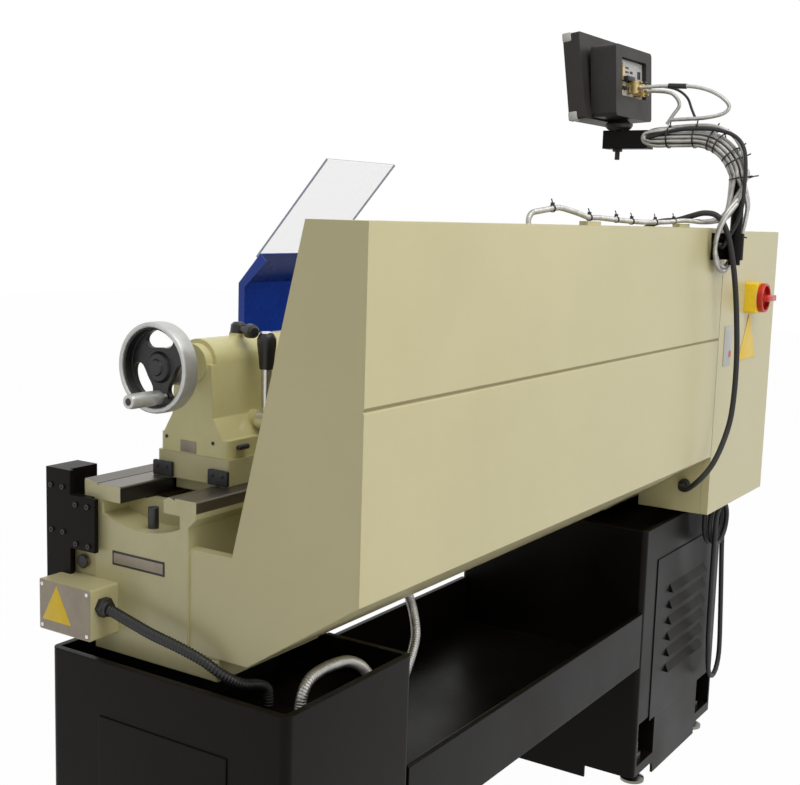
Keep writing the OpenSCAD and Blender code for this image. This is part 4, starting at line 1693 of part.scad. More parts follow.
module quill_lock() color(black) {
    z = axis_z + barrel_r + chamfer + slide_gap;
    rod_z(lock_r, axis_z + quill_r + 3 * over, z + over, quill_lock_x, axis_y);
    turned_z(quill_lock_x, axis_y, z, [[0, 0], [1.8 * lock_r, 0], [1.6 * lock_r, casing_r], [lock_r, 1.3 * casing_r], [0, 1.3 * casing_r]]);
    translate([quill_lock_x, axis_y, z + casing_r / 2]) rotate([0, 0, 65]) rotate([0, 90, 0]) {
        cylinder(r = lever_rod_r * 0.8, h = lock_lever_l);
        turned_z(0, 0, lock_lever_l - over, [[0, 0], [lever_rod_r, 0], [lever_ball_r * 0.8, casing_r], [lever_ball_r * 0.7, 2 * casing_r], [lever_rod_r, 2.4 * casing_r], [0, 2.4 * casing_r]]);
    }
}
clamp_lever_l = 150;
module clamp_lever() {
    color(steel) {
        rod_y(lock_r, axis_y + neck_w / 4 + over, clamp_y + over, clamp_x, clamp_z);
        turned_y(clamp_x, clamp_y - lever_hub_l / 2 + slide_gap, clamp_z, [[0, 0], [2.2 * lock_r, 0], [2.2 * lock_r, lever_hub_l * 0.8], [1.6 * lock_r, lever_hub_l], [0, lever_hub_l]]);
        rod_z(lever_rod_r, clamp_z, clamp_z + clamp_lever_l - 3 * casing_r, clamp_x, clamp_y + slide_gap);
    }
    color(black) turned_z(clamp_x, clamp_y + slide_gap, clamp_z + clamp_lever_l - 4 * casing_r, [[0, 0], [lever_rod_r * 1.2, 0],
        [lever_ball_r * 0.8, casing_r], [lever_ball_r, 3.2 * casing_r], [lever_ball_r * 0.7, 3.8 * casing_r], [0, 4 * casing_r]]);
}

// Brake pedal between the pedestals
pedal_gap = 2;
pedal_arm_w = 30;
pedal_arm_t = 8;
pedal_out = 100;
pedal_low = 60;
pedal_plate_w = 50;
module brake_pedal() color(black) {
    x0 = head_ped_x + pedal_gap;
    x1 = tail_ped_x - pedal_gap;
    rod_x(pedal_pin_r, x0 - stand_t, x1 + stand_t, pedal_y, pedal_z);
    for (x = [x0 + pedal_arm_w, x1 - pedal_arm_w - pedal_arm_t]) along_x(x, x + pedal_arm_t) {
        translate([pedal_y, pedal_z]) circle(pedal_arm_w / 2);
        polygon([[pedal_y, pedal_z + pedal_arm_w / 2], [pedal_y - pedal_out, pedal_z - pedal_low + pedal_arm_w / 2],
            [pedal_y - pedal_out, pedal_z - pedal_low], [pedal_y, pedal_z - pedal_arm_w / 2]]);
    }
    span([x0 + pedal_arm_w, pedal_y - pedal_out - pedal_plate_w, pedal_z - pedal_low],
        [x1 - pedal_arm_w, pedal_y - pedal_out + over, pedal_z - pedal_low + pedal_arm_t]);
}
stand_base();
stand_panels();
leveling_feet();
bed();
headstock();
feed_gearbox();
end_bracket();
rod_cover();
limit_switch_box();
conduits();
splash_guard();
electrical_cabinet();
electrical_gear();
signal_cable();
power_cable();
readout_arm();
motor();
drive_belts();
cabinet_door();
main_switch_knob();
readout_display();
display_leads();
spindle();
chuck_body();
chuck_jaw_1();
chuck_jaw_2();
chuck_jaw_3();
input_pulley();
motor_pulley();
output_gear();
gearbox_gear();
end_cover();
speed_lever_left();
speed_lever_right();
feed_dial();
stop_button();
leadscrew();
feed_rod();
control_rod();
control_lever();
saddle();
apron();
cross_slide();
compound_base();
top_slide();
tool_post();
carriage_handwheel();
cross_handle();
top_handle();
half_nut_lever();
carriage_shield();
shield_window();
tailstock_base();
tailstock_body();
quill();
tail_handwheel();
wheel_grip();
quill_lock();
clamp_lever();
brake_pedal();
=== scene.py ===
import math
import bmesh
import bpy
from mathutils import Matrix, Vector


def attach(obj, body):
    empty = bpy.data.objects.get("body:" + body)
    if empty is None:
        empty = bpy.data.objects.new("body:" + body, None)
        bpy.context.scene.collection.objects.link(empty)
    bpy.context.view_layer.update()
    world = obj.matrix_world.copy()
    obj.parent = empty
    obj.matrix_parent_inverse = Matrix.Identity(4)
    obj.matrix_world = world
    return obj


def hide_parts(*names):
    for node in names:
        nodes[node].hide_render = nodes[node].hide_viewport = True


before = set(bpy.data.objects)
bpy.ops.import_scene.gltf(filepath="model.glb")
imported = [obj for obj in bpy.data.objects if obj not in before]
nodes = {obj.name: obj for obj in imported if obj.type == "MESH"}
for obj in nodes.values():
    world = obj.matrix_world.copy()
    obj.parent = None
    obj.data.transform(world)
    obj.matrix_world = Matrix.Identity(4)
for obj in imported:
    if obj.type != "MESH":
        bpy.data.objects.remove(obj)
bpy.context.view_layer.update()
scene = bpy.context.scene

# Pieces are in millimetres, made metres where a mesh is built; camera, lamps and floor are in metres
mm = 0.001
alongX, alongY, alongZ = (1, 0, 0), (0, 1, 0), (0, 0, 1)
facingRear = (alongX, alongZ, alongY)
facingTail = (alongY, alongZ, alongX)


def metres(points):
    return [Vector(p) * mm for p in points]


def paint(red, green, blue):
    shades = []
    for value in (red, green, blue):
        share = value / 255
        shades.append(share / 12.92 if share <= 0.04045 else ((share + 0.055) / 1.055) ** 2.4)
    return (*shades, 1.0)


# Camera at the photograph's viewing angle
cameraSetup = {"place": (2.376, 1.356, 1.395), "yaw": 32.91, "down": 8.19, "roll": 1.71,
               "lens": 55.64, "sensor": 36, "farthest": 60}


def makeCamera(setup):
    yaw, down, roll = (math.radians(setup[k]) for k in ("yaw", "down", "roll"))
    ahead = Vector((-math.cos(yaw) * math.cos(down), -math.sin(yaw) * math.cos(down), -math.sin(down)))
    right = ahead.cross(Vector(alongZ)).normalized()
    upward = right.cross(ahead)
    across = math.cos(roll) * right + math.sin(roll) * upward
    upright = -math.sin(roll) * right + math.cos(roll) * upward
    data = bpy.data.cameras.new("photoCamera")
    data.lens = setup["lens"]
    data.sensor_width = setup["sensor"]
    data.sensor_fit = "HORIZONTAL"
    data.clip_end = setup["farthest"]
    camera = bpy.data.objects.new("photoCamera", data)
    turn = Matrix((across, upright, -ahead)).transposed().to_4x4()
    camera.matrix_world = Matrix.Translation(setup["place"]) @ turn
    scene.collection.objects.link(camera)
    scene.camera = camera


makeCamera(cameraSetup)
print("camera set")


# Paths
def smoothPath(points, steps):
    line = []
    count = len(points)
    for i in range(count - 1):
        a = points[max(i - 1, 0)]
        b, c = points[i], points[i + 1]
        d = points[min(i + 2, count - 1)]
        for k in range(steps):
            t = k / steps
            line.append(0.5 * (2 * b + (c - a) * t + (2 * a - 5 * b + 4 * c - d) * t * t
                               + (3 * b - a - 3 * c + d) * t ** 3))
    line.append(points[-1])
    return line


def pathLength(line):
    return sum((b - a).length for a, b in zip(line, line[1:]))


def evenPath(line, gap):
    count = max(2, round(pathLength(line) / gap))
    total, spaced, walked, i = pathLength(line), [], 0.0, 0
    for k in range(count + 1):
        goal = total * k / count
        while i < len(line) - 2 and walked + (line[i + 1] - line[i]).length < goal:
            walked += (line[i + 1] - line[i]).length
            i += 1
        span = (line[i + 1] - line[i]).length
        spaced.append(line[i].lerp(line[i + 1], min(1, (goal - walked) / span) if span else 0))
    return spaced


# Node trees: feeds gives each input its socket or its value
def addNode(tree, kind, feeds=None, **settings):
    node = tree.nodes.new(kind)
    for key, value in settings.items():
        setattr(node, key, value)
    for key, source in (feeds or {}).items():
        if isinstance(source, bpy.types.NodeSocket):
            tree.links.new(source, node.inputs[key])
        else:
            node.inputs[key].default_value = source
    return node


def maths(tree, rule, first, second):
    return addNode(tree, "ShaderNodeMath", {0: first, 1: second}, operation=rule).outputs[0]


def mixed(tree, kind, mask, first, second):
    low, high, result = (6, 7, 2) if kind == "RGBA" else (2, 3, 0)
    return addNode(tree, "ShaderNodeMix", {0: mask, low: first, high: second}, data_type=kind).outputs[result]


def newTree(name, kind, inputs, outputs):
    tree = bpy.data.node_groups.new(name, kind)
    for way, sockets in (("INPUT", inputs), ("OUTPUT", outputs)):
        for label, socket, *value in sockets:
            made = tree.interface.new_socket(label, in_out=way, socket_type="NodeSocket" + socket)
            if value:
                made.default_value = value[0]
    return tree, addNode(tree, "NodeGroupInput").outputs


# Node groups that materials share: a cloudy, grained surface with soft edges, and a box that marks a region
grainInputs = {"Cloud size": 3.0, "Grain size": 400.0, "Low gloss": 0.3, "High gloss": 0.5, "Bump": 0.2,
               "Bump height": 0.0002, "Edge radius": 0.0015}


def makeGrainGroup():
    inputs = [("Place", "Vector"), ("Dark", "Color"), ("Light", "Color")]
    inputs += [(label, "Float", value) for label, value in grainInputs.items()]
    tree, start = newTree("surfaceGrain", "ShaderNodeTree", inputs,
                          [("Colour", "Color"), ("Roughness", "Float"), ("Normal", "Vector")])
    cloud = addNode(tree, "ShaderNodeTexNoise", {
        "Vector": start["Place"], "Scale": start["Cloud size"], "Detail": 5, "Roughness": 0.6})
    grain = addNode(tree, "ShaderNodeTexNoise", {
        "Vector": start["Place"], "Scale": start["Grain size"], "Detail": 3})
    spread = addNode(tree, "ShaderNodeMapRange", {
        "Value": cloud.outputs["Fac"], "From Min": 0.3, "From Max": 0.7}).outputs["Result"]
    soft = addNode(tree, "ShaderNodeBevel", {"Radius": start["Edge radius"]}, samples=4)
    bump = addNode(tree, "ShaderNodeBump", {
        "Strength": start["Bump"], "Distance": start["Bump height"], "Height": grain.outputs["Fac"],
        "Normal": soft.outputs["Normal"]})
    addNode(tree, "NodeGroupOutput", {
        "Colour": mixed(tree, "RGBA", spread, start["Dark"], start["Light"]),
        "Roughness": mixed(tree, "FLOAT", spread, start["Low gloss"], start["High gloss"]),
        "Normal": bump.outputs["Normal"]})
    return tree


def makeRegionGroup():
    labels = ("Place", "Low corner", "High corner")
    tree, start = newTree("boxRegion", "ShaderNodeTree", [(label, "Vector") for label in labels],
                          [("Mask", "Float")])
    place, low, high = (addNode(tree, "ShaderNodeSeparateXYZ", {0: start[label]}).outputs for label in labels)
    mask = 1.0
    for axis in range(3):
        for corner, rule in ((low, "GREATER_THAN"), (high, "LESS_THAN")):
            mask = maths(tree, "MULTIPLY", mask, maths(tree, rule, place[axis], corner[axis]))
    addNode(tree, "NodeGroupOutput", {"Mask": mask})
    return tree


grainGroup = makeGrainGroup()
regionGroup = makeRegionGroup()


def layer(tree, finish, place):
    if "stretch" in finish:
        mapping = addNode(tree, "ShaderNodeMapping", {"Vector": place, "Scale": finish["stretch"]})
        place = mapping.outputs["Vector"]
    feeds = {"Place": place, "Dark": finish["dark"], "Light": finish["light"], **finish["grain"]}
    return addNode(tree, "ShaderNodeGroup", feeds, node_tree=grainGroup).outputs


def regionMask(tree, place, low, high):
    feeds = {"Place": place, "Low corner": [v * mm for v in low], "High corner": [v * mm for v in high]}
    return addNode(tree, "ShaderNodeGroup", feeds, node_tree=regionGroup).outputs["Mask"]


def newMaterial(name):
    material = bpy.data.materials.new(name)
    material.use_nodes = True
    material.node_tree.nodes.clear()
    return material, material.node_tree


def closeMaterial(tree, shader):
    addNode(tree, "ShaderNodeOutputMaterial", {"Surface": shader.outputs[0]})


def makeMaterial(name, finish, regions=()):
    material, tree = newMaterial(name)
    place = addNode(tree, "ShaderNodeTexCoord").outputs["Object"]
    main = layer(tree, finish, place)
    colour, gloss, metal = main["Colour"], main["Roughness"], finish["shader"].get("Metallic", 0.0)
    for low, high, other in regions:
        mask = regionMask(tree, place, low, high)
        over = layer(tree, other, place)
        colour = mixed(tree, "RGBA", mask, colour, over["Colour"])
        gloss = mixed(tree, "FLOAT", mask, gloss, over["Roughness"])
        metal = mixed(tree, "FLOAT", mask, metal, other["shader"].get("Metallic", 0.0))
    feeds = {"Base Color": colour, "Roughness": gloss, "Normal": main["Normal"], **finish["shader"]}
    if regions:
        feeds["Metallic"] = metal
    closeMaterial(tree, addNode(tree, "ShaderNodeBsdfPrincipled", feeds))
    return material


# Finishes: dark and light colour, then the grain inputs in their order, the shader's own values and a stretch
def makeFinish(dark, light, grain, shader=None, stretch=None):
    row = {"dark": dark, "light": light, "grain": dict(zip(grainInputs, grain)), "shader": shader or {}}
    if stretch:
        row["stretch"] = stretch
    return row


castGrain = (9, 120, 0.28, 0.45, 0.35, 0.0007, 0.003)
lacquer = {"Coat Weight": 0.2, "Coat Roughness": 0.18}
bareMetal = {"Metallic": 1.0}
finishRows = {
    "cream": (paint(196, 187, 141), paint(205, 196, 151),
        (2.2, 260, 0.30, 0.42, 0.12, 0.0004, 0.0022),
        {"Specular IOR Level": 0.5, "Coat Weight": 0.15, "Coat Roughness": 0.2}),
    "castCream": (paint(192, 184, 138), paint(204, 197, 153), castGrain, lacquer),
    # painted light: a lighter copy of the cast cream, for the tailstock body that the lamps leave too dark
    "tailCreamPaintedLight": (paint(212, 203, 144), paint(223, 215, 158), castGrain, lacquer),
    "standBlack": (paint(13, 10, 8), paint(21, 17, 14),
        (4, 190, 0.27, 0.42, 0.25, 0.0005, 0.003), {"Specular IOR Level": 0.09}),
    "trayBlack": (paint(6, 5, 4), paint(11, 9, 8),
        (3.0, 400, 0.6, 0.7, 0.2, 0.0002, 0.003)),
    "steel": ((0.20, 0.187, 0.168, 1), (0.31, 0.292, 0.265, 1),
        (16, 900, 0.3, 0.44, 0.05, 0.0001, 0.0012), bareMetal, (0.15, 1, 1)),
    "waySteel": ((0.135, 0.121, 0.102, 1), (0.215, 0.195, 0.167, 1),
        (16, 900, 0.34, 0.48, 0.05, 0.0001, 0.0012), bareMetal, (0.15, 1, 1)),
    "turnedSteel": ((0.42, 0.42, 0.42, 1), (0.68, 0.68, 0.67, 1),
        (10, 150, 0.16, 0.32, 0.08, 0.0002, 0.0012), bareMetal, (20, 1, 1)),
    "chrome": ((0.62, 0.62, 0.62, 1), (0.82, 0.82, 0.82, 1),
        (22, 300, 0.08, 0.18, 0.03, 0.0001, 0.001), bareMetal),
    "silverPaint": ((0.52, 0.52, 0.50, 1), (0.66, 0.66, 0.64, 1),
        (30, 500, 0.3, 0.45, 0.15, 0.0003, 0.002), {"Metallic": 0.55}),
    "blackPlastic": (paint(20, 19, 19), paint(31, 30, 29),
        (25, 900, 0.32, 0.48, 0.3, 0.0002, 0.0015)),
    "blackRubber": (paint(20, 20, 21), paint(33, 33, 34),
        (18, 600, 0.5, 0.68, 0.3, 0.0003, 0.0015)),
    "darkIron": ((0.09, 0.092, 0.095, 1), (0.17, 0.172, 0.175, 1),
        (12, 300, 0.35, 0.55, 0.4, 0.0006, 0.002), {"Metallic": 0.7}),
    "greyGear": ((0.20, 0.205, 0.21, 1), (0.30, 0.31, 0.31, 1),
        (20, 700, 0.4, 0.55, 0.2, 0.0002, 0.001)),
    "displayGrey": (paint(38, 35, 33), paint(50, 47, 44),
        (20, 1300, 0.42, 0.55, 0.5, 0.0003, 0.0015), {"Specular IOR Level": 0.3}),
    "lightGrey": (paint(176, 176, 172), paint(192, 192, 188),
        (20, 600, 0.35, 0.5, 0.1, 0.0002, 0.001)),
    "red": (paint(184, 34, 24), paint(204, 44, 30),
        (25, 500, 0.2, 0.34, 0.08, 0.0002, 0.0015)),
    "yellow": (paint(232, 190, 22), paint(242, 204, 34),
        (25, 500, 0.28, 0.4, 0.06, 0.0002, 0.0008)),
    "blue": (paint(0, 50, 150), paint(4, 62, 166),
        (8, 300, 0.24, 0.36, 0.12, 0.0003, 0.0015), {"Specular IOR Level": 0.4}),
    "brass": ((0.55, 0.42, 0.18, 1), (0.72, 0.56, 0.26, 1),
        (30, 600, 0.22, 0.36, 0.1, 0.0002, 0.0008), {"Metallic": 0.9}),
    "hoseSteel": ((0.34, 0.33, 0.31, 1), (0.56, 0.55, 0.52, 1),
        (40, 500, 0.28, 0.45, 0.1, 0.0002, 0.0005), {"Metallic": 0.9}),
    "tanPlate": (paint(150, 138, 122), paint(170, 158, 140),
        (20, 600, 0.4, 0.55, 0.1, 0.0002, 0.001)),
    # painted shade: a darker cream for the concave corner of the guard's crease, partly dirt
    "creasePaintedShade": (paint(150, 140, 98), paint(162, 151, 108),
        (3.0, 400, 0.5, 0.6, 0.2, 0.0002, 0.001)),
}
finishes = {name: makeFinish(*row) for name, row in finishRows.items()}
materials = {name: makeMaterial(name + "Finish", finish) for name, finish in finishes.items()}

# Nodes with regions in another finish: base finish, then low corner, high corner and finish of each region
regionFinish = {
    "bed": ("bedFinish", "castCream", [
        ((-860, -185, 921), (963.2, -96, 960), "waySteel"), ((-860, -1, 921), (963.2, 75, 960), "waySteel"),
        # painted shade: black strips in the grooves along the tops of both ways
        ((-860, -149.5, 930), (963.2, -146.5, 940.1), "blackPlastic"),
        ((-860, 19, 930), (963.2, 24.5, 940.1), "blackPlastic"),
        # painted shade: black on the front way's inner side, which faces the gap between the ways
        ((-860, -98, 911.8), (963.2, -96, 937.5), "blackPlastic"),
        # painted shade: a black patch between the ways near the tail end stands for a hole
        ((924, -61, 874.2), (944, -41, 912), "blackPlastic")]),
    "stand_base": ("standFinish", "standBlack", [((690.5, -195, 600.5), (1001.5, 242, 658), "trayBlack")]),
    # painted shade: a darker band along the concave corner of the crease, partly dirt
    "splash_guard": ("guardFinish", "cream", [((-538, 370, 1116), (958, 385, 1122.5), "creasePaintedShade")]),
    "tailstock_base": ("tailBaseFinish", "castCream", [((640, -120, 850), (830, 30, 925), "red")]),
    "clamp_lever": ("clampLeverFinish", "chrome", [((680, -60, 1105), (820, 80, 1200), "blackPlastic")]),
    "control_lever": ("controlLeverFinish", "chrome", [
        ((440, -420, 780), (540, -240, 1010), "blackPlastic")]),
}
nodeMaterial = {
    node: makeMaterial(name, finishes[base], [(low, high, finishes[other]) for low, high, other in regions])
    for node, (name, base, regions) in regionFinish.items()}

windowLook = {"clear": paint(236, 240, 246), "edge": paint(52, 66, 120), "alpha": (0.1, 0.8),
              "gloss": (0.02, 0.10), "haze": 30,
              "edges": [((200, -280, 1290), (203, -40, 1510)), ((437, -280, 1290), (440, -40, 1510)),
                        ((200, -280, 1496.5), (440, -40, 1510))]}


def makeWindowMaterial(look):
    material, tree = newMaterial("clearWindowFinish")
    place = addNode(tree, "ShaderNodeTexCoord").outputs["Object"]
    haze = addNode(tree, "ShaderNodeTexNoise", {"Vector": place, "Scale": look["haze"]}).outputs["Fac"]
    low, high = look["gloss"]
    gloss = addNode(tree, "ShaderNodeMapRange", {"Value": haze, "To Min": low, "To Max": high})
    mask = 0.0
    for low, high in look["edges"]:
        mask = maths(tree, "MAXIMUM", mask, regionMask(tree, place, low, high))
    closeMaterial(tree, addNode(tree, "ShaderNodeBsdfPrincipled", {
        "Base Color": mixed(tree, "RGBA", mask, look["clear"], look["edge"]),
        "Roughness": gloss.outputs["Result"], "Alpha": mixed(tree, "FLOAT", mask, *look["alpha"])}))
    return material


nodeFinish = {
    "cream": ["electrical_cabinet", "cabinet_door", "end_cover", "limit_switch_box"],
    "castCream": ["headstock", "feed_gearbox", "end_bracket", "saddle", "apron"],
    # the tailstock body takes the lighter cream copy, which is painted light
    "tailCreamPaintedLight": ["tailstock_body"],
    "standBlack": ["stand_panels", "rod_cover", "brake_pedal", "readout_arm"],
    "steel": ["leadscrew", "feed_rod", "control_rod", "cross_slide", "compound_base", "top_slide",
              "tool_post", "leveling_feet", "chuck_jaw_1", "chuck_jaw_2", "chuck_jaw_3"],
    "turnedSteel": ["spindle", "chuck_body", "output_gear", "gearbox_gear", "quill"],
    "chrome": ["speed_lever_left", "speed_lever_right", "carriage_handwheel", "cross_handle", "top_handle",
               "half_nut_lever"],
    "silverPaint": ["wheel_grip"],
    "darkIron": ["motor", "input_pulley", "motor_pulley"],
    "blackRubber": ["drive_belts", "conduits", "signal_cable", "power_cable", "display_leads"],
    "blackPlastic": ["feed_dial", "quill_lock", "tail_handwheel"],
    "greyGear": ["electrical_gear"],
    "displayGrey": ["readout_display"],
    "red": ["main_switch_knob", "stop_button"],
    "blue": ["carriage_shield"],
}
for finishName, names in nodeFinish.items():
    for name in names:
        nodeMaterial[name] = materials[finishName]
nodeMaterial["shield_window"] = makeWindowMaterial(windowLook)
for name, node in nodes.items():
    if not node.data.materials:
        node.data.materials.append(nodeMaterial[name])
    for spot in node.material_slots:
        spot.material = nodeMaterial[name]
print("materials set on", len(nodes), "nodes")


def finishPiece(name, mesh, finish, body):
    piece = bpy.data.objects.new(name, mesh)
    scene.collection.objects.link(piece)
    mesh.materials.clear()
    mesh.materials.append(materials[finish])
    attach(piece, body)
    return piece


def meshFrom(bm, name, sharp=35):
    bmesh.ops.recalc_face_normals(bm, faces=bm.faces)
    limit = math.radians(sharp)
    for face in bm.faces:
        face.smooth = True
    for edge in bm.edges:
        edge.smooth = len(edge.link_faces) == 2 and edge.calc_face_angle(0) < limit
    mesh = bpy.data.meshes.new(name)
    bm.to_mesh(mesh)
    bm.free()
    return mesh


# A piece from parts, each an adding function and its values
def built(name, parts, finish, body, matrix=None):
    bm = bmesh.new()
    for add, *values in parts:
        add(bm, *values)
    mesh = meshFrom(bm, name)
    if matrix is not None:
        mesh.transform(matrix)
    return finishPiece(name, mesh, finish, body)


def axisFrame(axis):
    ahead = Vector(axis).normalized()
    side = ahead.cross(Vector(alongZ if abs(ahead.z) < 0.9 else alongY)).normalized()
    return side, ahead.cross(side), ahead


def addPrism(bm, outline, origin, side, up, ahead, thick, edge=0.0):
    base = [bm.verts.new((Vector(origin) + Vector(side) * u + Vector(up) * v) * mm) for u, v in outline]
    cap = bm.faces.new(base)
    raised = bmesh.ops.extrude_face_region(bm, geom=[cap])["geom"]
    moved = [g for g in raised if isinstance(g, bmesh.types.BMVert)]
    bmesh.ops.translate(bm, verts=moved, vec=Vector(ahead) * thick * mm)
    if edge:
        edges = dict.fromkeys(e for v in moved for e in v.link_edges)
        rims = [e for e in edges if all(v in moved for v in e.verts)]
        bmesh.ops.bevel(bm, geom=rims, offset=edge * mm, segments=2, profile=0.5, affect="EDGES")


def addBlock(bm, low, high, edge=0.0):
    low, high = Vector(low), Vector(high)
    made = bmesh.ops.create_cube(bm, size=1)["verts"]
    for v in made:
        v.co = Vector(((v.co[i] + 0.5) * (high[i] - low[i]) + low[i]) * mm for i in range(3))
    if edge:
        edges = list(dict.fromkeys(e for v in made for e in v.link_edges))
        bmesh.ops.bevel(bm, geom=edges, offset=edge * mm, segments=2, profile=0.5, affect="EDGES")


def addTurned(bm, profile, origin, axis, steps=40):
    side, up, ahead = axisFrame(axis)
    rings = []
    for radius, along in profile:
        centre = Vector(origin) + ahead * along
        if radius <= 0:
            rings.append([bm.verts.new(centre * mm)])
        else:
            rings.append([bm.verts.new((centre + side * radius * math.cos(2 * math.pi * k / steps)
                                        + up * radius * math.sin(2 * math.pi * k / steps)) * mm)
                          for k in range(steps)])
    for a, b in zip(rings, rings[1:]):
        for k in range(steps):
            quad = [a[k % len(a)], a[(k + 1) % len(a)], b[(k + 1) % len(b)], b[k % len(b)]]
            quad = list(dict.fromkeys(quad))
            if len(quad) > 2:
                bm.faces.new(quad)


def addCone(bm, low, high, length, origin, axis, steps):
    addTurned(bm, [(0, 0), (low, 0), (high, length), (0, length)], origin, axis, steps)


def roundedOutline(width, height, radius, steps=5):
    x, y = width / 2 - radius, height / 2 - radius
    corners = [(x, y, 0), (-x, y, 90), (-x, -y, 180), (x, -y, 270)]
    return [(x + radius * math.cos(math.radians(a + 90 * k / steps)),
             y + radius * math.sin(math.radians(a + 90 * k / steps)))
            for x, y, a in corners for k in range(steps + 1)]


# Geometry Nodes: a hose with ribs along a path, screws at points, and marks round a drum
def geometryTree(name, values, others=()):
    sockets = [("Geometry", "Geometry"), *((label, "Float") for label in values), *others,
               ("Finish", "Material")]
    return newTree(name, "GeometryNodeTree", sockets, [("Geometry", "Geometry")])


def closeTree(tree, start, geometry):
    real = addNode(tree, "GeometryNodeRealizeInstances", {0: geometry})
    coat = addNode(tree, "GeometryNodeSetMaterial", {
        "Geometry": real.outputs[0], "Material": start["Finish"]})
    addNode(tree, "NodeGroupOutput", {0: coat.outputs[0]})
    return tree


def circleCurve(tree, steps, radius):
    feeds = {"Resolution": steps, "Radius": radius}
    return addNode(tree, "GeometryNodeCurvePrimitiveCircle", feeds).outputs[0]


def makeHoseTree():
    tree, start = geometryTree("ribbedHose", ["Core radius", "Rib height", "Pitch"])
    line = addNode(tree, "GeometryNodeMeshToCurve", {0: start["Geometry"]}).outputs[0]
    core = addNode(tree, "GeometryNodeCurveToMesh", {
        "Curve": line, "Profile Curve": circleCurve(tree, 16, start["Core radius"]), "Fill Caps": True})
    stops = addNode(tree, "GeometryNodeCurveToPoints", {"Curve": line, "Length": start["Pitch"]},
                    mode="LENGTH").outputs
    ring = addNode(tree, "GeometryNodeCurveToMesh", {
        "Curve": circleCurve(tree, 14, start["Core radius"]),
        "Profile Curve": circleCurve(tree, 4, start["Rib height"])})
    copies = addNode(tree, "GeometryNodeInstanceOnPoints", {
        "Points": stops["Points"], "Rotation": stops["Rotation"], "Instance": ring.outputs[0]})
    both = addNode(tree, "GeometryNodeJoinGeometry")
    for part in (core, copies):
        tree.links.new(part.outputs[0], both.inputs[0])
    smooth = addNode(tree, "GeometryNodeSetShadeSmooth", {0: both.outputs[0]})
    return closeTree(tree, start, smooth.outputs[0])


def makeScrewTree():
    tree, start = geometryTree("screwHeads", ["Head radius", "Head height", "Socket share"])
    radius, height = start["Head radius"], start["Head height"]
    head = addNode(tree, "GeometryNodeMeshCylinder", {"Vertices": 20, "Radius": radius, "Depth": height})
    hexagon = addNode(tree, "GeometryNodeMeshCylinder", {
        "Vertices": 6, "Radius": maths(tree, "MULTIPLY", radius, start["Socket share"]), "Depth": height})
    raising = addNode(tree, "ShaderNodeCombineXYZ", {2: maths(tree, "MULTIPLY", height, 0.5)})
    lifted = addNode(tree, "GeometryNodeTransform", {
        "Geometry": hexagon.outputs["Mesh"], "Translation": raising.outputs[0]})
    feeds = {"Mesh 1": head.outputs["Mesh"], "Mesh 2": lifted.outputs[0]}
    cut = addNode(tree, "GeometryNodeMeshBoolean", feeds, operation="DIFFERENCE")
    facing = addNode(tree, "GeometryNodeInputNamedAttribute", {"Name": "facing"}, data_type="FLOAT_VECTOR")
    feeds = {"Vector": facing.outputs["Attribute"]}
    turn = addNode(tree, "FunctionNodeAlignRotationToVector", feeds, axis="Z")
    copies = addNode(tree, "GeometryNodeInstanceOnPoints", {
        "Points": start["Geometry"], "Instance": cut.outputs[0], "Rotation": turn.outputs[0]})
    return closeTree(tree, start, copies.outputs[0])


def makeMarkTree():
    tree, start = geometryTree("drumMarks", ["Radius", "Mark length", "Mark width"], [("Count", "Int")])
    circle = addNode(tree, "GeometryNodeMeshCircle", {"Vertices": start["Count"], "Radius": start["Radius"]})
    size = addNode(tree, "ShaderNodeCombineXYZ", {
        0: start["Mark width"], 1: start["Mark width"], 2: start["Mark length"]})
    mark = addNode(tree, "GeometryNodeMeshCube", {"Size": size.outputs[0]})
    place = addNode(tree, "GeometryNodeInputPosition")
    turn = addNode(tree, "FunctionNodeAlignRotationToVector", {"Vector": place.outputs[0]}, axis="X")
    copies = addNode(tree, "GeometryNodeInstanceOnPoints", {
        "Points": circle.outputs[0], "Instance": mark.outputs["Mesh"], "Rotation": turn.outputs[0]})
    return closeTree(tree, start, copies.outputs[0])


hoseTree, screwTree, markTree = makeHoseTree(), makeScrewTree(), makeMarkTree()


def grown(name, mesh, tree, values, finish, body, matrix=None):
    piece = bpy.data.objects.new(name, mesh)
    scene.collection.objects.link(piece)
    modifier = piece.modifiers.new("build", "NODES")
    modifier.node_group = tree
    values = {**values, "Finish": materials[finish]}
    for item in tree.interface.items_tree:
        if item.in_out == "INPUT" and item.name in values:
            modifier[item.identifier] = values[item.name]
    bpy.context.view_layer.update()
    evaluated = piece.evaluated_get(bpy.context.evaluated_depsgraph_get())
    result = bpy.data.meshes.new_from_object(evaluated)
    piece.modifiers.clear()
    piece.data = result
    if matrix is not None:
        result.transform(matrix)
    if not result.materials:
        result.materials.append(materials[finish])
    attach(piece, body)
    return piece


def ribbedHose(name, points, radius, rib, pitch, finish, body, steps=6, shortest=2.5):
    line = evenPath(smoothPath(metres(points), steps), max(pitch, shortest) * mm)
    mesh = bpy.data.meshes.new(name)
    mesh.from_pydata([tuple(p) for p in line], [(i, i + 1) for i in range(len(line) - 1)], [])
    values = {"Core radius": radius * mm, "Rib height": rib * mm, "Pitch": pitch * mm}
    return grown(name, mesh, hoseTree, values, finish, body)


def screwHeads(name, places, radius, height, finish, body, facing=alongX):
    mesh = bpy.data.meshes.new(name)
    mesh.from_pydata([tuple(Vector(p) * mm) for p in places], [], [])
    attribute = mesh.attributes.new("facing", "FLOAT_VECTOR", "POINT")
    for i in range(len(places)):
        attribute.data[i].vector = facing
    values = {"Head radius": radius * mm, "Head height": height * mm, "Socket share": 0.5}
    return grown(name, mesh, screwTree, values, finish, body)


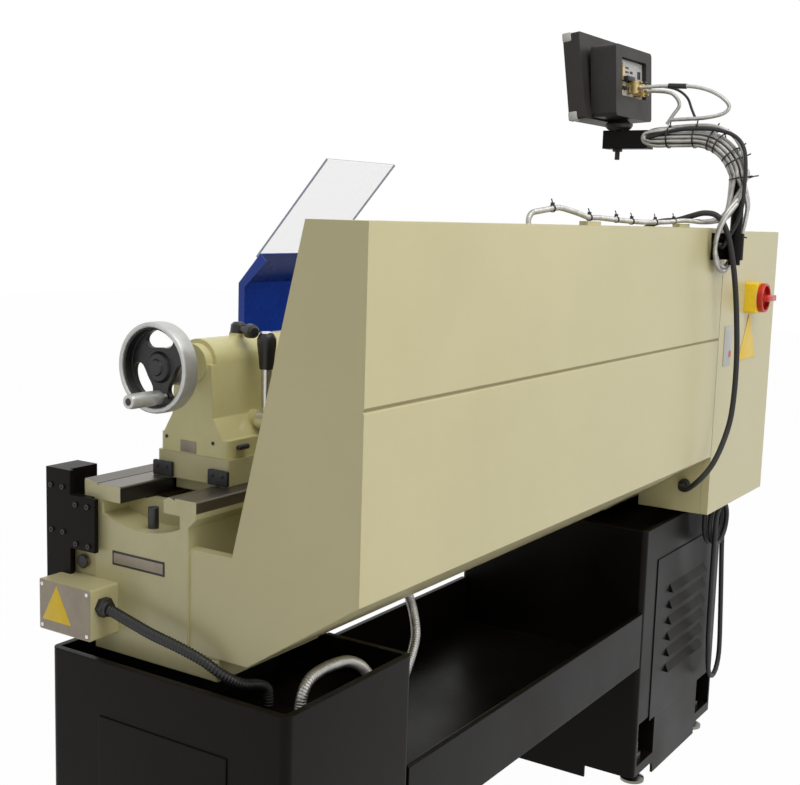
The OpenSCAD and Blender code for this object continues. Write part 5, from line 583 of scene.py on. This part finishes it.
# Power cable: two loops under the cabinet, down to the stand's foot and back up to its second gland
powerCable = {"radius": 6.5, "inX": -700, "outX": -844, "y": 322, "top": 665, "gland": 13,
              "coilRadius": 54, "coilTurns": 2, "coilPitch": 15, "coilTop": 616, "coilSteps": 24,
              "fall": [
                  (-700, 352, 590), (-704, 350, 540), (-716, 346, 470), (-735, 340, 390), (-755, 334, 310),
                  (-772, 331, 255), (-782, 330, 215), (-800, 329, 184), (-828, 328, 170), (-858, 327, 178),
                  (-878, 326, 205), (-884, 325, 245), (-880, 324, 310), (-868, 323, 420), (-856, 322, 520),
                  (-848, 322, 600), (-844, 322, 645)]}


def powerPath(cable):
    entry, steps, wide = cable["inX"], cable["coilSteps"], cable["coilRadius"]
    coil = []
    for k in range(steps * cable["coilTurns"] + 1):
        turn = math.radians(360 / steps * k)
        coil.append(Vector((entry + wide * (math.cos(turn) - 1), cable["y"] + cable["coilPitch"] * k / steps,
                            cable["coilTop"] - wide * math.sin(turn))))
    line = metres([(entry, cable["y"], cable["top"]), (entry, cable["y"], cable["top"] - 18)] + coil[:-1])
    line += smoothPath(metres([coil[-1], *cable["fall"]]), 2)
    return line + metres([(cable["outX"], cable["y"], cable["top"])])


powerLine = powerPath(powerCable)
powerCurve = bpy.data.curves.new("powerCable", "CURVE")
powerCurve.dimensions = "3D"
powerCurve.bevel_depth = powerCable["radius"] * mm
powerCurve.bevel_resolution = 5
powerCurve.use_fill_caps = True
spline = powerCurve.splines.new("POLY")
spline.points.add(len(powerLine) - 1)
for point, place in zip(spline.points, powerLine):
    point.co = (*place, 1)
powerCurve.materials.append(materials["blackRubber"])
power = bpy.data.objects.new("powerCable", powerCurve)
scene.collection.objects.link(power)
g = powerCable["gland"]
glandProfile = [(6.6, 0), (g - 3, 0), (g, 2), (g, 7), (g - 1.5, 8), (g - 1.5, 11), (g, 12), (g, 18),
                (6.6, 18), (6.6, 0)]
glandParts = [(addTurned, glandProfile, (x, powerCable["y"], powerCable["top"]), alongZ, 24)
              for x in (powerCable["inX"], powerCable["outX"])]
powerGlands = built("powerGlands", glandParts, "blackPlastic", "frame")
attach(power, "frame")
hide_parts("power_cable")
print("power cable", round(pathLength(powerLine), 3), "m")

# Fixed conduits and leads: paths, then core radius, rib height, pitch and finish of each
trayPath = [
    (1000, -99, 745), (1000, -80, 744), (1000, -40, 735), (1000, 10, 724), (996, 60, 714), (986, 105, 698),
    (970, 132, 676), (940, 146, 655), (908, 150, 645), (884, 150, 632), (878, 150, 616), (878, 150, 602)]
arcPath = [
    (925, 250, 602), (925, 250, 622), (920, 250, 655), (902, 250, 675), (874, 250, 681), (840, 250, 681),
    (800, 250, 675), (765, 250, 658), (738, 250, 633), (730, 250, 618), (730, 250, 602)]
risePath = [
    (600, 190, 342), (600, 190, 362), (588, 189, 410), (560, 187, 480), (525, 184, 540), (492, 180, 580),
    (470, 174, 612), (456, 158, 650), (447, 137, 690), (441, 124, 735), (436, 106, 775), (434, 86, 795),
    (434, 70, 800), (434, 53.4, 800)]
topPath = [
    (405, 340, 1385.4), (404, 340, 1396), (392, 340, 1405), (370, 340, 1408), (342, 340, 1411),
    (312, 340, 1414), (281, 340, 1416), (240, 340, 1412), (200, 340, 1407), (150, 340, 1400),
    (100, 340, 1400), (-20, 340, 1396), (-140, 340, 1394), (-260, 341, 1396), (-340, 343, 1400),
    (-390, 347, 1400), (-430, 358, 1398), (-462, 376, 1400), (-484, 396, 1408), (-490, 412, 1430),
    (-492, 428, 1470), (-494, 434, 1510), (-496, 424, 1560), (-500, 396, 1600), (-504, 350, 1621),
    (-508, 300, 1624), (-510, 250, 1621), (-511, 215, 1616), (-511, 196, 1614)]
armPath = [
    (-476, 388, 1343), (-476, 398, 1343), (-482, 412, 1372), (-486, 424, 1400), (-480, 436, 1440),
    (-478, 438, 1480), (-478, 438, 1530), (-480, 430, 1570), (-482, 408, 1596), (-484, 370, 1610),
    (-484, 320, 1615), (-484, 270, 1613), (-484, 230, 1606), (-484, 204, 1598), (-484, 190, 1596)]
signalPath = [
    (-525, 319, 753), (-510, 319, 753), (-490, 330, 752), (-466, 352, 758), (-450, 384, 785),
    (-466, 408, 822), (-490, 422, 870), (-516, 430, 930), (-524, 433, 1000), (-520, 434, 1080),
    (-504, 434, 1160), (-482, 433, 1240), (-462, 428, 1310), (-446, 416, 1375), (-432, 396, 1412),
    (-420, 368, 1419), (-414, 335, 1410), (-414, 305, 1401), (-420, 272, 1398), (-440, 240, 1392),
    (-472, 205, 1380), (-510, 172, 1372), (-545, 150, 1362), (-560, 142, 1345), (-560, 142, 1326)]
conduits = {"trayConduit": (trayPath, 8, 1.4, 5.5, "blackPlastic"),
            "arcConduit": (arcPath, 8.6, 1.2, 4.2, "hoseSteel"),
            "riseConduit": (risePath, 8.6, 1.2, 4.6, "hoseSteel"),
            "topLead": (topPath, 4.6, 0.7, 2.6, "hoseSteel"),
            "armLead": (armPath, 4.5, 0.3, 3.0, "blackRubber"),
            "signalConduit": (signalPath, 6.5, 0.35, 4, "blackRubber")}
hoses = {name: ribbedHose(name, *row, "frame") for name, row in conduits.items()}
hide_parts("conduits")
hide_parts("signal_cable")
longPath = [
    (-490, 155, 1712), (-490, 184, 1715), (-490, 240, 1716), (-490, 306, 1711), (-490, 355, 1694),
    (-490, 385, 1668), (-491, 374, 1650), (-494, 332, 1641), (-500, 284, 1639), (-505, 240, 1638)]
shortPath = [
    (-530, 155, 1708), (-530, 188, 1709), (-530, 230, 1702), (-530, 250, 1676), (-530, 236, 1652),
    (-528, 222, 1630)]
thinPath = [
    (-552, 155, 1722), (-552, 192, 1722), (-552, 232, 1714), (-552, 260, 1694), (-550, 274, 1666),
    (-546, 288, 1640)]
displayLeads = {"longDisplayLead": (longPath, 4.2, 0.6, 2.4, "hoseSteel"),
                "shortDisplayLead": (shortPath, 4.2, 0.6, 2.4, "hoseSteel"),
                "thinDisplayLead": (thinPath, 3.1, 0.15, 3, "blackRubber")}
displayHoses = {name: ribbedHose(name, *row, "display") for name, row in displayLeads.items()}
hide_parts("display_leads")
print("hoses", len(hoses) + len(displayHoses))

# Glands of the conduits, with a hexagon at the switch box
boxGland = {"radius": 17, "place": (1000, -100.9, 747), "thick": 13, "edge": 1.5}
sixths = [math.radians(60 * k) for k in range(6)]
hexagon = [(boxGland["radius"] * math.cos(a), boxGland["radius"] * math.sin(a)) for a in sixths]
conduitGland = [(7, 0), (13, 0), (14, 1.5), (14, 7), (12, 8), (12, 11), (13.5, 12), (12.5, 17), (7, 18),
                (7, 0)]
glandPlaces = [((-543, 319, 753), alongX), ((-560, 142, 1326), (0, 0, -1)), ((1000, -101, 746), alongY)]
built("conduitGlands", [(addTurned, conduitGland, place, axis, 24) for place, axis in glandPlaces]
      + [(addPrism, hexagon, boxGland["place"], alongX, alongZ, alongY, boxGland["thick"], boxGland["edge"])],
      "blackPlastic", "frame")

# Leads tied along the readout arm, two of them looped at the post's foot, four turned back at its end
arm = {"x": -510, "y": 415, "foot": 1440, "bendStart": 1481, "bend": 110, "reach": (280, 240, 205)}
armBundle = {"lead": 4.6, "rib": 0.7, "pitch": 2.6, "wave": 0.9, "waveRate": 1.3, "looped": 2,
             "turnedBack": 4, "offsets": [(13, 15), (18.7, 5.5), (19.2, -4), (14, -13.5), (3, 20.5)],
             "loop": [(-470, 426, 1452), (-441, 412, 1420), (-425, 401, 1380), (-432, 395, 1336),
                      (-468, 393, 1303), (-510, 394, 1296), (-533, 402, 1322), (-537, 416, 1368),
                      (-532, 428, 1412)]}
armLine = [(arm["x"], arm["y"], arm["foot"]), (arm["x"], arm["y"], arm["bendStart"])]
for k in range(1, 10):
    turn = math.radians(10 * k)
    armLine.append((arm["x"], arm["y"] - arm["bend"] + arm["bend"] * math.cos(turn),
                    arm["bendStart"] + arm["bend"] * math.sin(turn)))
armLine += [(arm["x"], y, arm["bendStart"] + arm["bend"]) for y in arm["reach"]]


def alongArm(side, out):
    places = []
    points = [Vector(p) for p in armLine]
    for i, point in enumerate(points):
        ahead = (points[min(i + 1, len(points) - 1)] - points[max(i - 1, 0)]).normalized()
        outward = Vector(alongX).cross(ahead)
        wave = armBundle["wave"] * math.sin(armBundle["waveRate"] * i + side) + armBundle["wave"]
        places.append(tuple(point + Vector((side + wave, 0, 0)) + outward * -out))
    return places


for k, (side, out) in enumerate(armBundle["offsets"]):
    run = alongArm(side, out)[2:]
    if k < armBundle["looped"]:
        start = [(x + 6 * k, y + 2 * k, z - 10 * k) for x, y, z in armBundle["loop"]]
        start.append((-520 + 8 * k, 436, 1446))
    else:
        start = [(-404 - 10 * k, 346, 1400), (-436, 352 + 2 * k, 1399), (-462, 378, 1404), (-478, 400, 1424)]
    run = start + run
    if k < armBundle["turnedBack"]:
        back = side + 1 + 1.5 * k
        run += [(back - 509, 188 - 2 * k, 1594 + out * 0.6), (back - 510, 184 - 2 * k, 1602),
                (back - 511, 196, 1612 - 2 * k), (back - 514, 225, 1617 - 3 * k), (back - 516, 262, 1612)]
    ribbedHose(f"armLead{k + 1}", run, armBundle["lead"], armBundle["rib"], armBundle["pitch"], "hoseSteel",
               "frame")
print("arm bundle")

# Zip ties with their tails
zipTie = {"steps": 20, "section": ((0, -1.8), (1.3, -1.8), (1.3, 1.8), (0, 1.8)), "lean": 0.35,
          "head": [(-3, -2.6), (3, -2.6), (3, 2.6), (-3, 2.6)], "headHeight": 4.6,
          "tail": [(-0.7, -1.5), (0.7, -1.5), (0.7, 1.5), (-0.7, 1.5)],
          "onArm": (2, 4, 5, 7, 8, 10, 12), "armSize": (25, 24),
          "onGuard": ((312, 1414), (150, 1400), (20, 1398), (-60, 1395), (-190, 1395), (-300, 1398))}


def addTie(bm, centre, ahead, wide, high, tail, up=alongZ):
    ahead = Vector(ahead).normalized()
    side = ahead.cross(Vector(up)).normalized()
    top = side.cross(ahead)
    steps = zipTie["steps"]
    rings = []
    for k in range(steps):
        a = 2 * math.pi * k / steps
        flat = Vector(centre) + side * wide * math.cos(a) + top * high * math.sin(a)
        out = (side * math.cos(a) / wide + top * math.sin(a) / high).normalized()
        rings.append([bm.verts.new((flat + out * h + ahead * w) * mm) for h, w in zipTie["section"]])
    for k in range(steps):
        a, b = rings[k], rings[(k + 1) % steps]
        for j in range(4):
            bm.faces.new((a[j], a[(j + 1) % 4], b[(j + 1) % 4], b[j]))
    foot = Vector(centre) + top * (high + 0.6)
    addPrism(bm, zipTie["head"], foot, side, ahead, top, zipTie["headHeight"])
    lean = (top + side * zipTie["lean"]).normalized()
    addPrism(bm, zipTie["tail"], foot + top * 3, side, ahead, lean, tail)


ties = []
for i in zipTie["onArm"]:
    along = Vector(armLine[i + 1]) - Vector(armLine[i - 1])
    outward = Vector(alongX).cross(along.normalized()) * -1
    centre = Vector(armLine[i]) + Vector((7, 0, 0)) + outward * 5
    ties.append((addTie, centre, along, *zipTie["armSize"], 10 + 3 * (i % 3), outward))
ties += [(addTie, (x, 340, z), alongX, 5.8, 5.8, 9) for x, z in zipTie["onGuard"]]
ties += [(addTie, (-537, 416, 1368), (0, 0.2, 1), 7, 6, 8, alongY),
         (addTie, (-430, 398, 1350), alongZ, 11, 7, 8, alongX)]
built("zipTies", ties, "blackPlastic", "frame")

# Plate, sockets, hoods and plugs in the recess of the display's case, and light corners on its bezel
display = {"place": Vector((-510, 105, 1640)), "caseTilt": 3.5, "bezelTilt": 8, "floor": 28,
           "panels": ((-12, 92, 16, 10), (-12, 108, 16, 6), (12, 118, 20, 4), (12, 108, 20, 4),
                      (-60, 100, 18, 18), (46, 84, 12, 38)),
           "corner": 22, "cornerXs": (-147, 125), "cornerZs": (-4, 181)}
toDisplay = Matrix.Translation(display["place"] * mm)
inCase = toDisplay @ Matrix.Rotation(math.radians(display["caseTilt"]), 4, "X")
onBezel = toDisplay @ Matrix.Rotation(math.radians(display["bezelTilt"]), 4, "X")
floorY = display["floor"] + 2
plugY = floorY + 0.6
built("recessPlate", [(addBlock, (-73, display["floor"] + 0.4, 52), (73, floorY, 138), 0.4)], "lightGrey",
      "display", inCase)
socketProfile = [(0, 0), (5, 0), (5, 5), (3.4, 5), (3.4, 2), (0, 2)]
built("recessSockets", [(addBlock, (x, floorY, z), (x + wide, floorY + 0.8, z + high), 0.3)
                        for x, z, wide, high in display["panels"]]
      + [(addTurned, socketProfile, (x, plugY, 70), alongY, 20) for x in (40, 56)],
      "blackPlastic", "display", inCase)
hoods = [(addPrism, [(-6, -18), (6, -15), (6, 15), (-6, 18)], (52, floorY, 104), *facingRear, 5, 0.8)]
hoods += [(addCone, 3, 3, 4, (52, floorY, 104 + dz), alongY, 6) for dz in (-23, 23)]
for x, z in ((20, 72), (-20, 68)):
    hoods += [(addPrism, [(-6, -14), (6, -12), (6, 12), (-6, 14)], (x, plugY, z), *facingRear, 10, 0.8),
              (addPrism, [(-7, -15), (7, -15), (7, 15), (-7, 15)], (x, plugY + 10, z), *facingRear, 18, 2.5),
              (addTurned, [(0, 0), (6, 0), (6, 5), (5, 9), (0, 9)], (x, plugY + 27, z), alongY, 20)]
    hoods += [(addCone, 2.6, 2.6, 9, (x, plugY + 28, z + dz), alongY, 12) for dz in (-11, 11)]
built("goldHoods", hoods, "brass", "display", inCase)
built("blackPlugs", [
    (addPrism, roundedOutline(16, 20, 3), (-42, plugY, 82), *facingRear, 24, 2),
    (addTurned, [(0, 0), (6, 0), (6, 5), (4.5, 12), (0, 12)], (-42, plugY + 23, 82), alongY, 20),
    (addPrism, roundedOutline(44, 12, 3), (30, plugY, 92), *facingRear, 16, 2)],
    "blackPlastic", "display", inCase)
built("leadSleeve", [(addTurned, [(4.6, 0), (6.2, 0), (6.2, 44), (4.6, 44), (4.6, 0)], (-490, 236, 1716.2),
                      (0, 1, -0.05), 20)], "blackRubber", "display")
built("bezelCorners", [(addBlock, (x, -68, z), (x + display["corner"], -44, z + display["corner"]), 4)
                       for x in display["cornerXs"] for z in display["cornerZs"]],
      "lightGrey", "display", onBezel)
print("display")

# Bare plates, yellow triangles and the rotary switch on the cabinet's door
doorOutline = [(-68, 0), (68, 0), (0, 120.5)]
built("doorTriangle", [(addPrism, doorOutline, (-768, 380.9, 1054.7), *facingRear, 0.5, 0.15)], "yellow",
      "door")
built("switchPlate", [(addPrism, roundedOutline(77, 77, 6), (-758, 380.4, 1213), *facingRear, 29.7, 2)],
      "yellow", "door")
switch = {"x": -758, "z": 1213, "front": 410.4, "radius": 37, "grip": 30, "gripHalf": 7.5}
x, y, z = switch["x"], switch["front"], switch["z"]
size, half = switch["radius"], switch["gripHalf"]
dialProfile = [(0, 0), (size - 1, 0), (size, 1.5), (size, 12), (size - 1.5, 14), (size - 5, 14),
               (size - 6.5, 12.5), (size - 6.5, 4), (0, 4)]
dial = built("mainSwitchDial", [
    (addTurned, dialProfile, (x, y, z), alongY, 64),
    (addBlock, (x - size + 4, y + 3, z - half), (x + size - 4, y + switch["grip"], z + half), 3),
    (addCone, 5, 5, 26.5, (x, y - 26.2, z), alongY, 20)], "red", "main_switch")
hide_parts("main_switch_knob")
built("doorTag", [(addPrism, roundedOutline(53.6, 98.6, 2), (-610, 380.9, 1098), *facingRear, 0.5, 0.15)],
      "lightGrey", "door")
built("doorDot", [(addCone, 9, 9, 0.5, (-628, 381.4, 1077), alongY, 32)], "red", "door")

# Plates on the bed's tail end and on the switch box, screws, and the feed rod's cap
built("bedPlateBorder", [(addBlock, (964.1, -114, 808), (964.9, 3, 832), 0.2)], "blackPlastic", "frame")
built("bedPlateFace", [(addBlock, (964.7, -110.5, 811.5), (965.2, -0.5, 828.5), 0.1)], "tanPlate", "frame")
built("boxLid", [(addPrism, roundedOutline(118, 83, 3), (1025.1, -161.5, 736), *facingTail, 1, 0.3)],
      "tanPlate", "frame")
built("boxTriangle", [(addPrism, [(-34, 0), (34, 0), (0, 62)], (1026.1, -180, 711), *facingTail, 0.5, 0.15)],
      "yellow", "frame")
screwHeads("boxScrews", [(1026.6, y, z) for y in (-214, -109) for z in (701, 771)], 3.2, 1.6,
           "chrome", "frame")
coverPlaces = [(-184, 901), (-156, 901), (-215, 927), (-243, 927), (-242, 850), (-214, 850), (-183, 834),
               (-154, 834)]
screwHeads("coverScrews", [(981, y, z) for y, z in coverPlaces], 4.5, 3.2, "blackPlastic", "frame")
rodCap = [(0, 0), (12, 0), (12, 2), (10.5, 3.4), (0, 3.8)]
built("feedRodCap", [(addTurned, rodCap, (968.2, -180, 802), alongX, 40)], "blackPlastic", "feed_rod")
print("plates and screws")

# Tailstock handwheel: wide silver rim, black web with three windows, collar, marks and grip
tailWheel = {"axis": (-44, 1140), "back": 916, "webRadii": (12, 64), "webFront": 927, "webBack": 918,
             "windowAngles": (92, 212, 332), "windowMiddle": 46, "windowDepth": 14.5, "windowSpan": 37,
             "windowRoundness": 0.8, "webSteps": 48, "gripAxis": (-30, 1094)}
wheelY, wheelZ = tailWheel["axis"]


def addWindowedWeb(bm, wheel):
    low, high = wheel["webRadii"]
    steps, power = wheel["webSteps"], wheel["windowRoundness"]
    sector = 180 / len(wheel["windowAngles"])
    for middle in wheel["windowAngles"]:
        rings = []
        for x in (wheel["webFront"], wheel["webBack"]):
            for hole in (True, False):
                ring = []
                for k in range(steps):
                    turn = 2 * math.pi * k / steps
                    u, v = math.cos(turn), math.sin(turn)
                    if hole:
                        swing = math.copysign(abs(u) ** power, u) * wheel["windowSpan"]
                        rise = math.copysign(abs(v) ** power, v) * wheel["windowDepth"]
                        radius = wheel["windowMiddle"] + rise
                    else:
                        reach = 1 / max(abs(u), abs(v))
                        swing = sector * u * reach
                        radius = (low + high) / 2 + (high - low) / 2 * v * reach
                    angle = math.radians(middle + swing)
                    ring.append(bm.verts.new(Vector((x, wheelY + radius * math.cos(angle),
                                                     wheelZ + radius * math.sin(angle))) * mm))
                rings.append(ring)
        for a, b in ((0, 1), (2, 3), (0, 2), (1, 3)):
            for k in range(steps):
                n = (k + 1) % steps
                bm.faces.new((rings[a][k], rings[a][n], rings[b][n], rings[b][k]))


rimProfile = [(67, 0), (72, 0), (73.4, 1.5), (74, 10), (74, 26), (73, 30), (70.5, 32), (67.5, 32), (65.5, 30),
              (64.5, 24), (65, 8), (66, 1), (67, 0)]
hubProfile = [(0, 0), (30, 0), (30, 5), (26, 11), (22, 17), (14, 19), (12, 22), (0, 22)]
liningProfile = [(62.4, 2), (65, 2), (65, 27), (64.2, 28), (62.4, 26), (62.4, 2)]
collarProfile = [(0, 0), (31, 0), (32, 1), (32, 22), (29, 25), (22, 27), (20, 30), (20, 42), (0, 42)]
gripProfile = [(0, 0), (9.5, 0), (11.6, 3), (12.4, 30), (12.2, 64), (10.8, 69.8), (0, 69.8)]
wheelBack = (tailWheel["back"], wheelY, wheelZ)
wheelRim = built("tailWheelRim", [(addTurned, rimProfile, wheelBack, alongX, 96)], "silverPaint",
                 "tail_handwheel")
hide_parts("tail_handwheel")
built("tailWheelWeb", [(addWindowedWeb, tailWheel), (addTurned, hubProfile, wheelBack, alongX, 48),
                       (addTurned, liningProfile, wheelBack, alongX, 96)], "blackPlastic", "tail_handwheel")
built("tailWheelCollar", [(addTurned, collarProfile, (874.5, wheelY, wheelZ), alongX, 64)], "silverPaint",
      "tail_handwheel")
tailDrum = {"x": 892, "radius": 32, "marks": 60, "markLength": 6, "markWidth": 0.45}
drumPlace = Matrix(axisFrame(alongX)).transposed().to_4x4()
drumPlace.translation = Vector((tailDrum["x"], wheelY, wheelZ)) * mm
drumValues = {"Count": tailDrum["marks"], "Radius": tailDrum["radius"] * mm,
              "Mark length": tailDrum["markLength"] * mm, "Mark width": tailDrum["markWidth"] * mm}
grown("tailDrumMarks", bpy.data.meshes.new("tailDrumMarks"), markTree, drumValues, "blackPlastic",
      "tail_handwheel", drumPlace)
built("gripSleeve", [(addTurned, gripProfile, (941.4, *tailWheel["gripAxis"]), alongX, 40)], "silverPaint",
      "wheel_grip")
# painted shade: a black disc on the grip's closed end stands for the hole in its end
built("gripHolePaintedShade", [(addCone, 6.2, 5.8, 0.7, (1011, *tailWheel["gripAxis"]), alongX, 28)], "blackPlastic",
      "wheel_grip")
print("tail handwheel")

# Wipers, tag, screws, set-over rod and clamp lever of the tailstock
wipers, wiperScrew = [], [(0, 0), (3.2, 0), (3, 2), (0, 2.6)]
for y in (-128, -4):
    wipers.append((addBlock, (850.4, y, 941), (858, y + 44, 968), 3))
    wipers += [(addTurned, wiperScrew, (858, y + dy, 959), alongX, 16) for dy in (11, 33)]
built("tailWipers", wipers, "blackRubber", "tailstock")
built("tailTag", [(addBlock, (850.2, -70, 988), (850.9, -35, 1008), 0.2)], "tanPlate", "tailstock")
screwHeads("tailScrews", [(850.3, y, 1010) for y in (-102, 2)], 3.2, 1.2, "blackPlastic", "tailstock")
built("setOverRod", [(addTurned, [(0, 0), (4, 0), (4.6, 2), (4.6, 24), (3.6, 26), (0, 26)], (803, 38, 1004),
                      alongX, 20)], "blackPlastic", "tailstock")
clamp = {"x": 748, "y": 30.3, "shank": 1063, "grip": 1134, "cap": 1189}
clampProfile = [(0, -6), (11.6, -6), (12.8, 2), (13.6, 14), (16.4, 36), (16.4, 45.5), (13.4, 52), (12, 54.5),
                (0, 55.5)]
capProfile = [(0, 0), (11.4, 0), (10.6, 2.2), (7, 3.6), (0, 4)]
built("clampGrip", [(addTurned, clampProfile, (clamp["x"], clamp["y"], clamp["grip"]), alongZ, 40)],
      "blackPlastic", "clamp_lever")
built("clampCap", [(addTurned, capProfile, (clamp["x"], clamp["y"], clamp["cap"]), alongZ, 32)],
      "chrome", "clamp_lever")
built("clampShank", [(addCone, 7.3, 9.2, 66, (clamp["x"], clamp["y"], clamp["shank"]), alongZ, 32)],
      "turnedSteel", "clamp_lever")
print("tailstock")

# Floor, world and lamps
lighting = {"world": 0.36, "overhead": 84, "side": 3, "rear": 30, "floorWhite": 0.98, "floorShade": 0.93,
            "floorSize": 14, "floorDrop": 0.0005}
white = (1, 1, 1, 1)


def whiteToCamera(tree, shaded, bright, amount=1.0):
    rays = addNode(tree, "ShaderNodeLightPath").outputs
    seen = maths(tree, "MAXIMUM", rays["Is Camera Ray"], rays["Is Glossy Ray"])
    seen = maths(tree, "MAXIMUM", seen, rays["Is Transmission Ray"])
    share = maths(tree, "MULTIPLY", seen, amount)
    return addNode(tree, "ShaderNodeMixShader", {0: share, 1: shaded.outputs[0], 2: bright.outputs[0]})


world = bpy.data.worlds.new("studioWorld")
scene.world = world
world.use_nodes = True
tree = world.node_tree
tree.nodes.clear()
plain = addNode(tree, "ShaderNodeBackground", {"Strength": lighting["world"], "Color": white})
seenWorld = addNode(tree, "ShaderNodeBackground", {"Color": white})
addNode(tree, "ShaderNodeOutputWorld", {"Surface": whiteToCamera(tree, plain, seenWorld).outputs[0]})

floorMaterial, tree = newMaterial("floorFinish")
matt = addNode(tree, "ShaderNodeBsdfDiffuse", {"Color": (*[lighting["floorShade"]] * 3, 1)})
glow = addNode(tree, "ShaderNodeEmission", {"Strength": 1.0})
closeMaterial(tree, whiteToCamera(tree, matt, glow, lighting["floorWhite"]))
bm = bmesh.new()
bmesh.ops.create_grid(bm, x_segments=1, y_segments=1, size=lighting["floorSize"])
floorMesh = bpy.data.meshes.new("studioFloor")
bm.to_mesh(floorMesh)
bm.free()
floor = bpy.data.objects.new("studioFloor", floorMesh)
floor.location.z = -lighting["floorDrop"]
floorMesh.materials.append(floorMaterial)
scene.collection.objects.link(floor)


def makeLamp(name, place, target, size, power):
    data = bpy.data.lights.new(name, "AREA")
    data.shape = "SQUARE"
    data.size = size
    data.energy = power
    lamp = bpy.data.objects.new(name, data)
    aim = Vector(target) - Vector(place)
    lamp.matrix_world = Matrix.Translation(place) @ aim.to_track_quat("-Z", "Y").to_matrix().to_4x4()
    scene.collection.objects.link(lamp)


makeLamp("overheadLamp", (0.8, 1.9, 4.0), (0.2, 0, 0.9), 3.0, lighting["overhead"])
makeLamp("sideLamp", (4.2, -1.8, 2.6), (0.4, 0, 1.0), 2.2, lighting["side"])
makeLamp("rearLamp", (0.2, 4.9, 2.4), (0, 0.2, 1.0), 2.6, lighting["rear"])
scene.view_settings.view_transform = "Standard"
print("studio set")
